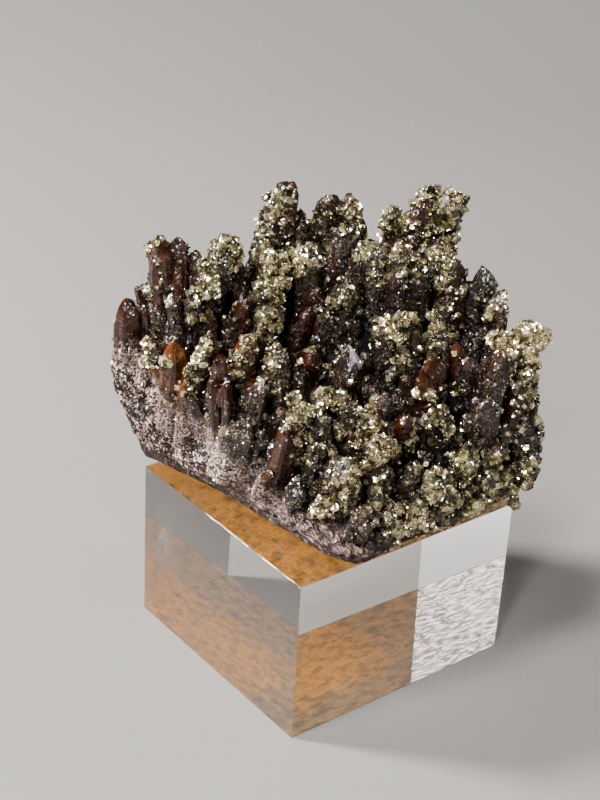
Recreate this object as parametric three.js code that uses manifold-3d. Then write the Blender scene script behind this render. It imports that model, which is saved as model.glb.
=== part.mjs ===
// Quartz with pyrite on a clear display block.
// A thicket of hexagonal quartz crystals and brassy pyrite cubes stands on its pinkish matrix,
// grown together as one piece. The matrix is broken off flat below and rests on a clear block.
// Millimetres, +Z up, origin at the centre of the block's underside.
import * as THREE from "three";
import { mergeVertices } from "three/addons/utils/BufferGeometryUtils.js";
import Module from "manifold-3d";

// Driving sizes of the clear block
const BLOCK_WIDTH = 30;
const BLOCK_DEPTH = 29;
const BLOCK_HEIGHT = 19.5;
const BLOCK_EDGE = 0.375;

// Outline of the matrix where it stands on the block, clockwise seen from below
const CONTACT = [
  [-7.7, -13.5], [-9.9, -4], [-10.8, 3.8], [-12, 9.5], [-13.2, 14.4],
  [-13.2, 17], [-6, 16.5], [1, 15.5], [8, 15], [13.5, 12],
  [14.5, 4], [14.3, -5], [13.4, -13.6], [6, -14], [-1, -13.9],
];

// Rim of the broken sides, each point with its height above the block
const RIM = [
  [-8.6, -13.9, 1.5], [-10.8, -4, 3], [-12, 3.3, 4.5], [-14.2, 9.5, 6.5], [-16.5, 14, 9.5],
  [-17.3, 18, 13.5], [-8, 19.5, 13], [1, 18.5, 12.5], [9, 17, 11.5], [15.5, 13, 11],
  [17.2, 4, 12], [17.5, -6, 9.5], [16, -14, 4], [7, -14.8, 2.5], [-1, -14.6, 2],
];

// Long crest of the matrix under the tallest crystals
const CREST = { x: 3.5, y: 6.5, height: 19, along: 9.5, across: 2, turn: -0.66 };
const SLOPE_POWER = 1.35;
const MATRIX_STEPS = 26;
const MATRIX_RINGS = [0.75, 0.45, 0.15];
const LUMP = 0.5;
const FOOT_MARGIN = 1;
const FOOT_WALL = 0.4;
const SIDE_REACH = 0.55;
const RIM_WOBBLE = 0.05;

// Hexagonal crystals
const CRYSTAL_SIDES = 6;
const SHAFT_TAPER = 0.9;
const POINT_LENGTH = 0.62;
const FOOT_DEPTH = 1.6;

// The tall crystals that give the piece its outline. Each row holds the point x, y, z, the lean in x
// and y for each millimetre of height, the width, and the pyrite crust: 0 none, 1 round the point,
// 2 down one flank.
const PEAKS = [
  [-12.5, 15.5, 47, -0.05, 0.05, 2.7, 0], [-11, 14.5, 47, 0, 0, 2.1, 0],
  [-9.5, 13.5, 45.5, 0.05, 0.1, 1.7, 0], [-16, 16.5, 40, -0.05, -0.1, 2.8, 0],
  [-12.5, 18.5, 40.5, -0.1, -0.05, 2.2, 1], [-14, 11.5, 42, -0.2, 0.05, 1.5, 0],
  [-12, 10, 43, -0.05, -0.1, 1.5, 1], [-6.5, 11.5, 47.5, 0.15, -0.15, 3, 1],
  [-9.5, 10.5, 45, 0.1, -0.1, 2.1, 2], [-7.5, 7.5, 41.5, -0.05, -0.1, 2.4, 0],
  [-3, 8, 46, -0.05, -0.1, 3, 2], [1, 10.5, 52.3, 0.25, -0.1, 3.3, 2],
  [0, 12, 51.5, 0.25, -0.05, 2.4, 2], [4.5, 8.5, 50.8, 0.05, -0.05, 3, 2],
  [-0.5, 5.5, 47, -0.1, -0.05, 2.6, 1], [6.5, 7.5, 50.5, -0.05, 0.2, 2.3, 2],
  [11, 5.5, 48.8, -0.15, 0.1, 2.6, 1], [14.5, 2.5, 51.8, 0.05, 0.1, 3, 1],
  [18, 2, 50.5, 0.1, 0.05, 2.3, 2], [12.5, -3.5, 45.5, -0.1, -0.05, 3.1, 2],
  [16, -5.5, 45, 0.05, -0.05, 3, 0], [16, -8, 42.5, 0, 0, 2, 1],
  [9.5, -1, 46, -0.1, 0, 2.6, 1], [7, 1, 46, -0.1, 0, 2.4, 1], [4.5, 3, 46.5, -0.1, 0, 2.2, 0],
  [4.4, 6.2, 47.6, 0, 0, 3, 0], [11.5, 5.5, 42.8, 0, 0.05, 2.8, 0],
];

// The shorter crystals of the near side, in the same columns
const SLOPE = [
  [-15, 9, 38, -0.1, -0.2, 2.9, 0], [-12.5, 6, 39, 0.05, -0.3, 2.6, 2],
  [-12.5, 4, 37.5, -0.15, -0.15, 2.1, 0], [-9, 3.5, 39.5, 0.05, -0.3, 2.6, 2],
  [-10, 0.5, 35.5, 0, -0.25, 2.5, 0], [-7.5, 1, 38.5, -0.15, -0.15, 2.6, 2],
  [-14.5, 7.5, 34, -0.1, -0.2, 1.6, 0],
  [-12.5, 5, 34.5, -0.15, -0.15, 2.5, 0], [-11, 1.5, 31.5, 0, -0.25, 2.9, 0],
  [-5, -1.5, 38, -0.6, -0.65, 2.7, 0], [-1.5, -3.5, 38.5, -0.2, -0.25, 3.4, 0],
  [-0.5, -9, 35.5, -0.05, -0.35, 2.1, 0],
  [-9.5, -4.5, 32.5, 0, -0.25, 2.6, 0], [-6.5, -5.5, 34, -0.2, -0.2, 3.2, 2],
  [-2.5, -9, 33.5, -0.25, -0.2, 3.2, 2], [-7, -10, 30, -0.25, -0.2, 3, 2],
  [-10, -7, 26.5, -0.2, -0.25, 2.3, 0], [-2.5, -11.5, 29, -0.2, -0.2, 2.4, 2],
  [6, -9.5, 38, 0, -0.25, 3, 0], [13, -12.5, 38.5, 0.1, -0.2, 3.6, 0],
  [15, -14, 36, 0.05, -0.15, 2.7, 1], [9, -9, 39, -0.3, -0.15, 1.5, 0],
  [9.5, -11, 38, -0.2, -0.35, 2.1, 0], [4, -12.5, 33.5, -0.45, -0.4, 3.3, 1],
  [0.5, -11, 33.5, -0.3, -0.3, 2.1, 0], [-7, 3.5, 40.8, -0.1, -0.1, 2.4, 1],
  [15.5, -15, 31, 0.05, -0.2, 2.5, 0], [9, -16, 26, -0.55, -0.45, 2.5, 1],
  [14.5, -16.5, 25.5, 0.1, -0.9, 2.6, 1], [-0.5, -15.5, 25, -0.4, -0.5, 2.3, 1],
  [-3.5, -14.5, 25.5, -0.5, -0.4, 2.1, 1], [2, -15, 28.5, -0.4, -0.3, 2.7, 2],
  [6.5, -14.5, 29.5, -0.3, -0.3, 2.6, 2], [6, -4.5, 41.5, -0.15, -0.15, 3.2, 2],
  [3.5, -3, 41, -0.2, -0.1, 2.8, 1], [2, 2, 44, -0.2, -0.1, 3.2, 2],
  [7.5, -7.5, 41.5, -0.15, -0.15, 2.3, 2], [10, -14, 34.5, -0.15, -0.25, 3.1, 0],
  [-8, -4, 34.5, -0.05, -0.2, 2.6, 1], [-4, -7, 35, -0.25, -0.2, 2.4, 1],
  [18.5, -12, 33, 0.3, -0.1, 2.4, 1], [18, -9.5, 36, 0.15, -0.1, 2.6, 1],
];

// Pyrite knobs that stand apart from those crusts: middle x, y, z and size
const KNOBS = [
  [15.5, -9.5, 38, 3.2], [17.7, -10.5, 38.2, 3.6], [20, -10, 37, 3.2], [17.5, -12.2, 36.3, 3],
  [12, -2.5, 45.5, 2.8], [1, 1, 42, 3.8], [-1, 5, 45, 3.2], [-3.5, 7.5, 45, 3.6],
  [-14.5, 13.5, 33.5, 2.8], [-10.7, 9.5, 42.5, 2.8], [-8.5, -4.5, 34, 2.8], [-5.5, -6, 34.8, 2.8],
  [-2.8, -10.2, 30.8, 3.4], [-7, -11, 26.8, 3.4], [-8.7, -9, 24, 2.4], [-4, -12.5, 23.5, 2.8],
  [2, -15.2, 27, 3.4], [4.7, -14.5, 23, 3], [6.5, -15, 28, 2.8], [11, -13.8, 25, 3],
  [-0.7, -15, 23, 2.8], [13, -15.4, 22.3, 2.4], [8, -15, 22, 2.6], [4, -5, 39, 3], [4.5, -8.5, 33.5, 2.6],
];
const KNOB_SHARE = 0.72;
const CRUST_SHARE = 0.86;
const CAP_DROP = 0.5;
const FLANK_SHARE = 0.72;
const FLANK_DROP = 1.25;
const FLANK_SHIFT = 0.32;
const FLANK_LENGTH = 1.8;

// Even spread of crystals over the matrix between the listed ones: short on the near side and tall
// behind, where none is listed
const FILLER_SPOTS = 40;
const FILLER_REACH = 0.97;
const NEAR_SIDE = { x: 0.6, y: 0.8, line: 3 };
const NEAR_HEIGHT = 4.2;
const FAR_HEIGHT = 6.5;
const EXTRA_HEIGHT = 4;
const EXTRA_REACH = 1.2;
const FILLER_WIDTH = 2.1;
const WIDTH_RANGE = 1.1;
const LEAN_RANGE = 0.4;
const GOLDEN_TURN = 2.399963 / (2 * Math.PI);
const FAN_CENTRE = { x: -4, y: 8 };
const FAN_RATE = 0.02;

// Steps of the steady scatter, one for each thing that varies
const STEP = { spin: 0.618, leanX: 0.733, leanY: 0.414, rise: 0.271, width: 0.527 };
const TURN_RANGE = 3;

// Everything below the block's top is cut from the grown piece, so its foot is flat
const CUT_SIZE = 100;

function fraction(value) {
  return value - Math.floor(value);
}

// A steady scatter from 0 to 1: the same number each time for the same count and step
function scatter(count, step) {
  return fraction(0.5 + count * step);
}

function smoothLoop(points, along) {
  const count = points.length;
  const place = fraction(along) * count;
  const start = Math.floor(place) % count;
  const u = place - Math.floor(place);
  const at = (k) => points[(start + k + count) % count];
  return points[0].map((_, axis) => {
    const [a, b, c, d] = [at(-1)[axis], at(0)[axis], at(1)[axis], at(2)[axis]];
    const bend = (c - a) * u + (2 * a - 5 * b + 4 * c - d) * u ** 2 + (3 * b - a - 3 * c + d) * u ** 3;
    return b + bend / 2;
  });
}

// A point on the crest's oval that faces the rim point
function crestPoint(rimX, rimY) {
  const angle = Math.atan2(rimY - CREST.y, rimX - CREST.x) - CREST.turn;
  const along = CREST.along * Math.cos(angle);
  const across = CREST.across * Math.sin(angle);
  const x = CREST.x + Math.cos(CREST.turn) * along - Math.sin(CREST.turn) * across;
  const y = CREST.y + Math.sin(CREST.turn) * along + Math.cos(CREST.turn) * across;
  return [x, y];
}

// A point of the matrix's upper side: around from 0 to 1 follows the rim, reach is 0 at the crest
// and 1 at the rim
function matrixPoint(around, reach) {
  const [rimX, rimY, rimHeight] = smoothLoop(RIM, around);
  const [crestX, crestY] = crestPoint(rimX, rimY);
  const x = crestX + (rimX - crestX) * reach;
  const y = crestY + (rimY - crestY) * reach;
  const height = rimHeight + (CREST.height - rimHeight) * (1 - reach) ** SLOPE_POWER;
  return new THREE.Vector3(x, y, BLOCK_HEIGHT + height);
}

function middleOf(points) {
  return points.reduce((sum, point) => sum.add(point), new THREE.Vector3()).divideScalar(points.length);
}

// Closed ring-by-ring skin from the contact outline over the rim to the crest
function matrixGeometry() {
  const rings = [];
  const ring = (make) => Array.from({ length: MATRIX_STEPS }, (_, step) => make(step / MATRIX_STEPS, step));
  rings.push(ring((t) => new THREE.Vector3(...smoothLoop(CONTACT, t), BLOCK_HEIGHT - FOOT_MARGIN)));
  rings.push(ring((t) => new THREE.Vector3(...smoothLoop(CONTACT, t), BLOCK_HEIGHT + FOOT_WALL)));
  rings.push(ring((t, step) => {
    const foot = new THREE.Vector3(...smoothLoop(CONTACT, t), BLOCK_HEIGHT);
    const bulge = LUMP * (scatter(step, STEP.spin) - 0.5);
    return foot.lerp(matrixPoint(t, 1), SIDE_REACH).add(new THREE.Vector3(bulge, -bulge, 0));
  }));
  rings.push(ring((t, step) => matrixPoint(t, 1 - RIM_WOBBLE * scatter(step, STEP.leanY))));
  for (const reach of MATRIX_RINGS) {
    rings.push(ring((t, step) => {
      const bump = LUMP * (scatter(step + MATRIX_STEPS * rings.length, STEP.leanX) - 0.5);
      return matrixPoint(t, reach).add(new THREE.Vector3(0, 0, bump));
    }));
  }
  const positions = [];
  const triangle = (a, b, c) => positions.push(...a.toArray(), ...b.toArray(), ...c.toArray());
  const bottom = middleOf(rings[0]);
  const top = middleOf(rings.at(-1));
  for (let step = 0; step < MATRIX_STEPS; step += 1) {
    const next = (step + 1) % MATRIX_STEPS;
    triangle(bottom, rings[0][step], rings[0][next]);
    triangle(top, rings.at(-1)[next], rings.at(-1)[step]);
    for (let level = 0; level + 1 < rings.length; level += 1) {
      const [low, high] = [rings[level], rings[level + 1]];
      triangle(low[step], high[next], low[next]);
      triangle(low[step], high[step], high[next]);
    }
  }
  const geometry = new THREE.BufferGeometry();
  geometry.setAttribute("position", new THREE.Float32BufferAttribute(positions, 3));
  return geometry;
}

// A six-sided crystal that ends in a point and leans as its row says, rooted in the matrix below it
function crystalGeometry({ point, lean, width, spin }, matrix) {
  const axis = new THREE.Vector3(lean[0], lean[1], 1).normalize();
  const root = new THREE.Raycaster(point, axis.clone().negate()).intersectObject(matrix)[0];
  const length = root.distance + FOOT_DEPTH;
  const radius = width / 2;
  const shaft = length - width * POINT_LENGTH;
  const profile = [[0, 0], [radius, 0], [radius * SHAFT_TAPER, shaft], [0, length]];
  const geometry = new THREE.LatheGeometry(profile.map(([x, y]) => new THREE.Vector2(x, y)), CRYSTAL_SIDES);
  geometry.rotateY(spin);
  geometry.applyQuaternion(new THREE.Quaternion().setFromUnitVectors(new THREE.Vector3(0, 1, 0), axis));
  const foot = point.clone().addScaledVector(axis, -length);
  return geometry.translate(foot.x, foot.y, foot.z);
}

function listedCrystals() {
  return [...PEAKS, ...SLOPE].map(([x, y, z, leanX, leanY, width, crust], count) => ({
    point: new THREE.Vector3(x, y, z),
    lean: [leanX, leanY],
    width,
    crust,
    spin: Math.PI * scatter(count, STEP.spin),
  }));
}

function fillerCrystals() {
  const rows = [];
  for (let count = 0; count < FILLER_SPOTS; count += 1) {
    const reach = Math.sqrt((count + 0.5) / FILLER_SPOTS) * FILLER_REACH;
    const foot = matrixPoint(count * GOLDEN_TURN, reach);
    const near = NEAR_SIDE.x * foot.x + NEAR_SIDE.y * foot.y < NEAR_SIDE.line;
    const leanX = FAN_RATE * (foot.x - FAN_CENTRE.x) + LEAN_RANGE * (scatter(count, STEP.leanX) - 0.5);
    const leanY = FAN_RATE * (foot.y - FAN_CENTRE.y) + LEAN_RANGE * (scatter(count, STEP.leanY) - 0.5);
    const extra = EXTRA_HEIGHT * scatter(count, STEP.rise) * (EXTRA_REACH - reach);
    const height = (near ? NEAR_HEIGHT : FAR_HEIGHT) + extra;
    const axis = new THREE.Vector3(leanX, leanY, 1).normalize();
    rows.push({
      point: foot.clone().addScaledVector(axis, height),
      lean: [leanX, leanY],
      width: FILLER_WIDTH + WIDTH_RANGE * scatter(count, STEP.width),
      spin: Math.PI * scatter(count, STEP.spin),
    });
  }
  return rows;
}

// One pyrite block, turned as told
function pyriteGeometry(middle, size, turn) {
  const geometry = new THREE.BoxGeometry(...size);
  geometry.applyQuaternion(turn);
  return geometry.translate(...middle.toArray());
}

function randomTurn(count) {
  const angles = [STEP.spin, STEP.leanX, STEP.leanY].map((step) => TURN_RANGE * scatter(count, step));
  return new THREE.Quaternion().setFromEuler(new THREE.Euler(...angles));
}

// The crusts on the crystals, on the same side of each, and the knobs
function pyriteGeometries() {
  const blocks = [];
  for (const { point, lean, width, crust } of listedCrystals()) {
    const axis = new THREE.Vector3(lean[0], lean[1], 1).normalize();
    const edge = width * CRUST_SHARE;
    if (crust === 1) {
      const middle = point.clone().addScaledVector(axis, -CAP_DROP * width);
      blocks.push(pyriteGeometry(middle, [edge, edge, edge], randomTurn(blocks.length)));
    }
    if (crust === 2) {
      const middle = point.clone().addScaledVector(axis, -FLANK_DROP * width);
      middle.x -= FLANK_SHIFT * width;
      const turn = new THREE.Quaternion().setFromUnitVectors(new THREE.Vector3(0, 0, 1), axis);
      const side = FLANK_SHARE * edge;
      blocks.push(pyriteGeometry(middle, [side, side, FLANK_LENGTH * width], turn));
    }
  }
  for (const [x, y, z, size] of KNOBS) {
    const edge = KNOB_SHARE * size;
    blocks.push(pyriteGeometry(new THREE.Vector3(x, y, z), [edge, edge, edge], randomTurn(blocks.length)));
  }
  return blocks;
}

function blockGeometry() {
  const outline = new THREE.Shape();
  const x = BLOCK_WIDTH / 2 - BLOCK_EDGE;
  const y = BLOCK_DEPTH / 2 - BLOCK_EDGE;
  outline.moveTo(-x, -y);
  outline.lineTo(x, -y);
  outline.lineTo(x, y);
  outline.lineTo(-x, y);
  outline.closePath();
  const geometry = new THREE.ExtrudeGeometry(outline, {
    depth: BLOCK_HEIGHT - 2 * BLOCK_EDGE,
    bevelEnabled: true,
    bevelSegments: 1,
    bevelSize: BLOCK_EDGE,
    bevelThickness: BLOCK_EDGE,
  });
  return geometry.translate(0, 0, BLOCK_EDGE);
}

const wasm = await Module();
wasm.setup();

function solidFrom(geometry) {
  const bare = new THREE.BufferGeometry();
  bare.setAttribute("position", geometry.getAttribute("position"));
  bare.setIndex(geometry.getIndex());
  const merged = mergeVertices(bare, 1e-5);
  const index = merged.getIndex().array;
  const triangles = [];
  for (let i = 0; i < index.length; i += 3) {
    const [a, b, c] = [index[i], index[i + 1], index[i + 2]];
    if (a !== b && b !== c && c !== a) triangles.push(a, b, c);
  }
  const mesh = new wasm.Mesh({
    numProp: 3,
    vertProperties: new Float32Array(merged.getAttribute("position").array),
    triVerts: new Uint32Array(triangles),
  });
  return new wasm.Manifold(mesh);
}

function geometryFrom(solid) {
  const { vertProperties, triVerts } = solid.getMesh();
  const geometry = new THREE.BufferGeometry();
  geometry.setAttribute("position", new THREE.BufferAttribute(new Float32Array(vertProperties), 3));
  geometry.setIndex(new THREE.BufferAttribute(new Uint32Array(triVerts), 1));
  geometry.computeVertexNormals();
  return geometry;
}

function joinAll(solids) {
  let round = solids;
  while (round.length > 1) {
    const next = [];
    for (let i = 0; i < round.length; i += 2) {
      next.push(i + 1 < round.length ? round[i].add(round[i + 1]) : round[i]);
    }
    round = next;
  }
  return round[0];
}

function clusterGeometry() {
  const matrix = new THREE.Mesh(matrixGeometry());
  const crystals = [...listedCrystals(), ...fillerCrystals()].map((row) => crystalGeometry(row, matrix));
  const grown = joinAll([matrix.geometry, ...crystals, ...pyriteGeometries()].map(solidFrom));
  const slab = new THREE.BoxGeometry(CUT_SIZE, CUT_SIZE, CUT_SIZE);
  slab.translate(0, 0, BLOCK_HEIGHT - CUT_SIZE / 2);
  return geometryFrom(grown.subtract(solidFrom(slab)));
}

const group = new THREE.Group();

const cluster = new THREE.Mesh(
  clusterGeometry(),
  new THREE.MeshStandardMaterial({ color: "#4a332a", roughness: 0.35, metalness: 0.1 }),
);
cluster.name = "quartz_pyrite_cluster";
group.add(cluster);

const block = new THREE.Mesh(
  blockGeometry(),
  new THREE.MeshStandardMaterial({ color: "#e6ecef", roughness: 0.05, metalness: 0 }),
);
block.name = "display_block";
group.add(block);

export default group;
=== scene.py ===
"""Quartz with pyrite on a clear display block, dressed for the render.

The tables and the builders count in millimetres. Meshes, lights and the camera are written in metres.
"""
import logging
import math
from collections.abc import Callable, Mapping, Sequence
from dataclasses import dataclass, field
from enum import Enum
from typing import Any

import bmesh
import bpy
import numpy as np
from mathutils import Matrix, Vector, noise
from mathutils.bvhtree import BVHTree


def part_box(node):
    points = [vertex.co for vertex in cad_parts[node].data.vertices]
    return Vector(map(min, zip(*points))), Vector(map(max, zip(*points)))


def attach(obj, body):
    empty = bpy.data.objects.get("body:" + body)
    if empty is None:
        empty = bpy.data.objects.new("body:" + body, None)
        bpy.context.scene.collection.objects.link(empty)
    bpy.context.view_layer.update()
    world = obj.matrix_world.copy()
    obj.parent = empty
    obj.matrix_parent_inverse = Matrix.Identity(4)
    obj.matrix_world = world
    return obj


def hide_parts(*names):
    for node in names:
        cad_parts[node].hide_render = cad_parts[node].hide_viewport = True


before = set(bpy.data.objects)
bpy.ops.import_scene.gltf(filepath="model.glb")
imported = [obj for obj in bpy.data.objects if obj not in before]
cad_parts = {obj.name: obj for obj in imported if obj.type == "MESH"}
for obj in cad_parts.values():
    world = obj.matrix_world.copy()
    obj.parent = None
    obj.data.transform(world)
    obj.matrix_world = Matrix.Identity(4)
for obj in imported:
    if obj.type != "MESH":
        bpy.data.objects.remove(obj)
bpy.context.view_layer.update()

MM = 0.001
CLUSTER_NODE = "quartz_pyrite_cluster"
BLOCK_NODE = "display_block"
BODY = "root"
BLOCK_HEIGHT = 19.5
SHADE = "shade"
RISE = "rise"
ALONG = "along"

# How much x falls for each millimetre of y along the matrix's left side, and how much z rises there
SIDE_SLANT = 0.29
FOOT_SLOPE = 0.5

# The screen's colour curve: a straight foot up to the limit and a power above it
CURVE_LIMIT = 0.04045
CURVE_RATE = 12.92
CURVE_OFFSET = 0.055
CURVE_SCALE = 1.055
CURVE_POWER = 2.4

# Steps of the steady scatter, one for each thing that varies
SPIN_STEP = 0.618
LEAN_X_STEP = 0.733
LEAN_Y_STEP = 0.414
RISE_STEP = 0.271
WIDTH_STEP = 0.527

LOG = logging.getLogger("specimen")

Array = np.ndarray
Point = tuple[float, float, float]
Colour = tuple[float, float, float, float]

WHITE: Colour = (1.0, 1.0, 1.0, 1.0)


class Crust(Enum):
    """Where pyrite sits on a crystal."""

    BARE = 0
    CAP = 1
    FLANK = 2


class Tone(Enum):
    """The look of a crystal's quartz, as its place on the colour ramp."""

    # The first tone paints a sheen on a few facets at the tip, pale grey that stands for reflected light;
    # below them the crystal is smoky.
    PAINTED_SHEEN = 0.0
    BLACK = 0.12
    SMOKY = 0.32
    RED = 0.58
    AMBER = 0.8


BARE, CAP, FLANK = Crust.BARE, Crust.CAP, Crust.FLANK
BLACK, SMOKY, RED, AMBER, PAINTED_SHEEN = Tone.BLACK, Tone.SMOKY, Tone.RED, Tone.AMBER, Tone.PAINTED_SHEEN

# Tones above the first are red or amber, and no tone above the second is lent to neighbours
GLOW_TONE = 0.5
LENT_LIMIT = 0.62

# Each row: point x, y, z, lean in x and y for each millimetre of height, width, pyrite and tone
PEAKS = (
    (-12.5, 15.5, 47, -0.05, 0.05, 3.4, BARE, RED), (-11, 14.5, 47, 0, 0, 2.3, BARE, RED),
    (-9.5, 13.5, 45.5, 0.05, 0.1, 1.7, BARE, SMOKY), (-16, 16.5, 40, -0.05, -0.1, 2.8, BARE, RED),
    (-12.5, 18.5, 40.5, -0.1, -0.05, 2.2, CAP, SMOKY), (-14, 11.5, 42, -0.2, 0.05, 1.5, BARE, PAINTED_SHEEN),
    (-12, 10, 43, -0.05, -0.1, 1.5, CAP, SMOKY), (-6.5, 11.5, 47.5, 0.15, -0.15, 3.6, CAP, SMOKY),
    (-9.5, 10.5, 45, 0.1, -0.1, 2.1, FLANK, SMOKY), (-7.5, 7.5, 41.5, -0.05, -0.1, 2.4, BARE, RED),
    (-3, 8, 46, -0.05, -0.1, 3, FLANK, SMOKY), (1, 10.5, 52.3, 0.25, -0.1, 3.3, FLANK, RED),
    (0.4, 12, 51.3, 0.25, -0.05, 2.1, FLANK, SMOKY), (4.5, 8.5, 50.8, 0.05, -0.05, 3, FLANK, SMOKY),
    (-0.5, 5.5, 47, -0.1, -0.05, 2.6, CAP, SMOKY), (6.5, 7.5, 50.5, -0.05, 0.2, 2.3, FLANK, SMOKY),
    (11, 5.5, 48.8, -0.15, 0.1, 2.6, CAP, SMOKY), (14.5, 2.5, 51.8, 0.28, -0.18, 2.6, CAP, RED),
    (18, 2, 50.5, 0.2, -0.12, 2.0, FLANK, SMOKY), (12.5, -3.5, 45.5, -0.1, -0.05, 3.1, FLANK, RED),
    (16, -5.5, 45, 0.05, -0.05, 3, BARE, BLACK), (16, -8, 42.5, 0, 0, 2, CAP, SMOKY),
    (9.5, -1, 46, -0.1, 0, 2.6, CAP, SMOKY), (7, 1, 46, -0.1, 0, 2.4, CAP, SMOKY),
    (4.5, 3, 46.5, -0.1, 0, 2.2, BARE, PAINTED_SHEEN), (4.4, 6.2, 47.6, 0, 0, 3, BARE, SMOKY),
    (11.5, 5.5, 42.8, 0, 0.05, 2.8, BARE, SMOKY),
)
SLOPE = (
    (-15, 9, 38, -0.1, -0.2, 2.9, BARE, AMBER), (-12.5, 6, 39, 0.05, -0.3, 2.6, FLANK, RED),
    (-12.5, 4, 37.5, -0.15, -0.15, 2.1, BARE, RED), (-9, 3.5, 39.5, 0.05, -0.3, 2.6, FLANK, AMBER),
    (-10, 0.5, 35.5, 0, -0.25, 2.5, BARE, PAINTED_SHEEN), (-7.5, 1, 38.5, -0.15, -0.15, 2.6, FLANK, SMOKY),
    (-14.5, 7.5, 34, -0.1, -0.2, 1.6, BARE, AMBER),
    (-12.5, 5, 34.5, -0.15, -0.15, 2.5, BARE, PAINTED_SHEEN), (-11, 1.5, 31.5, 0, -0.25, 2.9, BARE, BLACK),
    (-5, -1.5, 38, -0.6, -0.65, 2.7, BARE, RED), (-1.5, -3.5, 38.5, -0.2, -0.25, 3.4, BARE, PAINTED_SHEEN),
    (-0.5, -9, 35.5, -0.05, -0.35, 2.1, BARE, PAINTED_SHEEN),
    (-9.5, -4.5, 32.5, 0, -0.25, 2.6, BARE, RED), (-6.5, -5.5, 34, -0.2, -0.2, 3.2, FLANK, SMOKY),
    (-2.5, -9, 33.5, -0.25, -0.2, 3.2, FLANK, SMOKY), (-7, -10, 30, -0.25, -0.2, 3, FLANK, PAINTED_SHEEN),
    (-10, -7, 26.5, -0.2, -0.25, 2.3, BARE, BLACK), (-2.5, -11.5, 29, -0.2, -0.2, 2.4, FLANK, SMOKY),
    (6, -9.5, 38, 0, -0.25, 3, BARE, RED), (13, -12.5, 38.5, 0.1, -0.2, 4, BARE, SMOKY),
    (15, -14, 36, 0.05, -0.15, 2.7, CAP, RED), (9, -9, 39, -0.3, -0.15, 1.5, BARE, AMBER),
    (9.5, -11, 38, -0.2, -0.35, 2.1, BARE, PAINTED_SHEEN), (4, -12.5, 33.5, -0.45, -0.4, 3.3, CAP, BLACK),
    (0.5, -11, 33.5, -0.3, -0.3, 2.1, BARE, RED), (-7, 3.5, 40.8, -0.1, -0.1, 2.4, CAP, SMOKY),
    (15.5, -15, 31, 0.05, -0.2, 2.5, BARE, BLACK), (9, -16, 26, -0.55, -0.45, 2.5, CAP, BLACK),
    (14.5, -16.5, 25.5, 0.1, -0.9, 2.6, CAP, RED), (-0.5, -15.5, 25, -0.4, -0.5, 2.3, CAP, SMOKY),
    (-3.5, -14.5, 25.5, -0.5, -0.4, 2.1, CAP, SMOKY), (2, -15, 28.5, -0.4, -0.3, 2.7, FLANK, SMOKY),
    (6.5, -14.5, 29.5, -0.3, -0.3, 2.6, FLANK, SMOKY), (6, -4.5, 41.5, -0.15, -0.15, 3.2, FLANK, SMOKY),
    (3.5, -3, 41, -0.2, -0.1, 2.8, CAP, SMOKY), (2, 2, 44, -0.2, -0.1, 3.2, FLANK, SMOKY),
    (7.5, -7.5, 41.5, -0.15, -0.15, 2.3, FLANK, SMOKY), (10, -14, 34.5, -0.15, -0.25, 3.1, BARE, SMOKY),
    (-8, -4, 34.5, -0.05, -0.2, 2.6, CAP, SMOKY), (-4, -7, 35, -0.25, -0.2, 2.4, CAP, SMOKY),
    (18.5, -12, 33, 0.3, -0.1, 2.4, BARE, RED), (18, -9.5, 36, 0.15, -0.1, 2.6, CAP, SMOKY),
)

INFILL = (
    (5.3, 1.2, 47.3, -0.1, 0.0, 2.4, CAP, SMOKY), (6.8, -0.6, 46.8, -0.1, 0.0, 2.5, CAP, SMOKY),
    (12.8, -15.6, 25.5, 0.1, -0.5, 2.4, CAP, SMOKY), (17.6, -13.8, 30.2, 0.2, -0.05, 3.0, BARE, BLACK),
    (17.2, -11.5, 31.5, 0.4, -0.1, 2.3, CAP, SMOKY), (2.3, 10, 48.8, 0.2, -0.05, 2.5, FLANK, SMOKY),
    (9.5, 0.9, 46.2, -0.1, 0.05, 2.4, CAP, SMOKY), (16, -14.8, 27, 0.2, -0.3, 2.2, BARE, RED),
    (-0.3, 5.3, 43.3, 0, 0, 1.5, BARE, RED), (0.1, 2.6, 40, -0.1, -0.2, 2.2, BARE, SMOKY),
    (-3, 3.5, 39, -0.3, -0.3, 2.1, BARE, SMOKY), (-1.2, 3.6, 40.5, 0.1, -0.3, 1.9, BARE, RED),
    (-11.8, 0.1, 31.3, 0, -0.4, 3.5, BARE, SMOKY), (12.7, 3.1, 47.3, 0.15, 0, 2.2, BARE, RED),
    (-13.2, 2, 35.7, -0.15, -0.1, 1.2, BARE, RED), (-13.4, 3.9, 34.9, -0.15, -0.05, 1.4, BARE, RED),
    (-5, 5.5, 43.8, -0.05, -0.1, 2.8, CAP, SMOKY), (14.4, 1.2, 46.2, 0.05, 0, 2.8, CAP, SMOKY),
)

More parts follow.
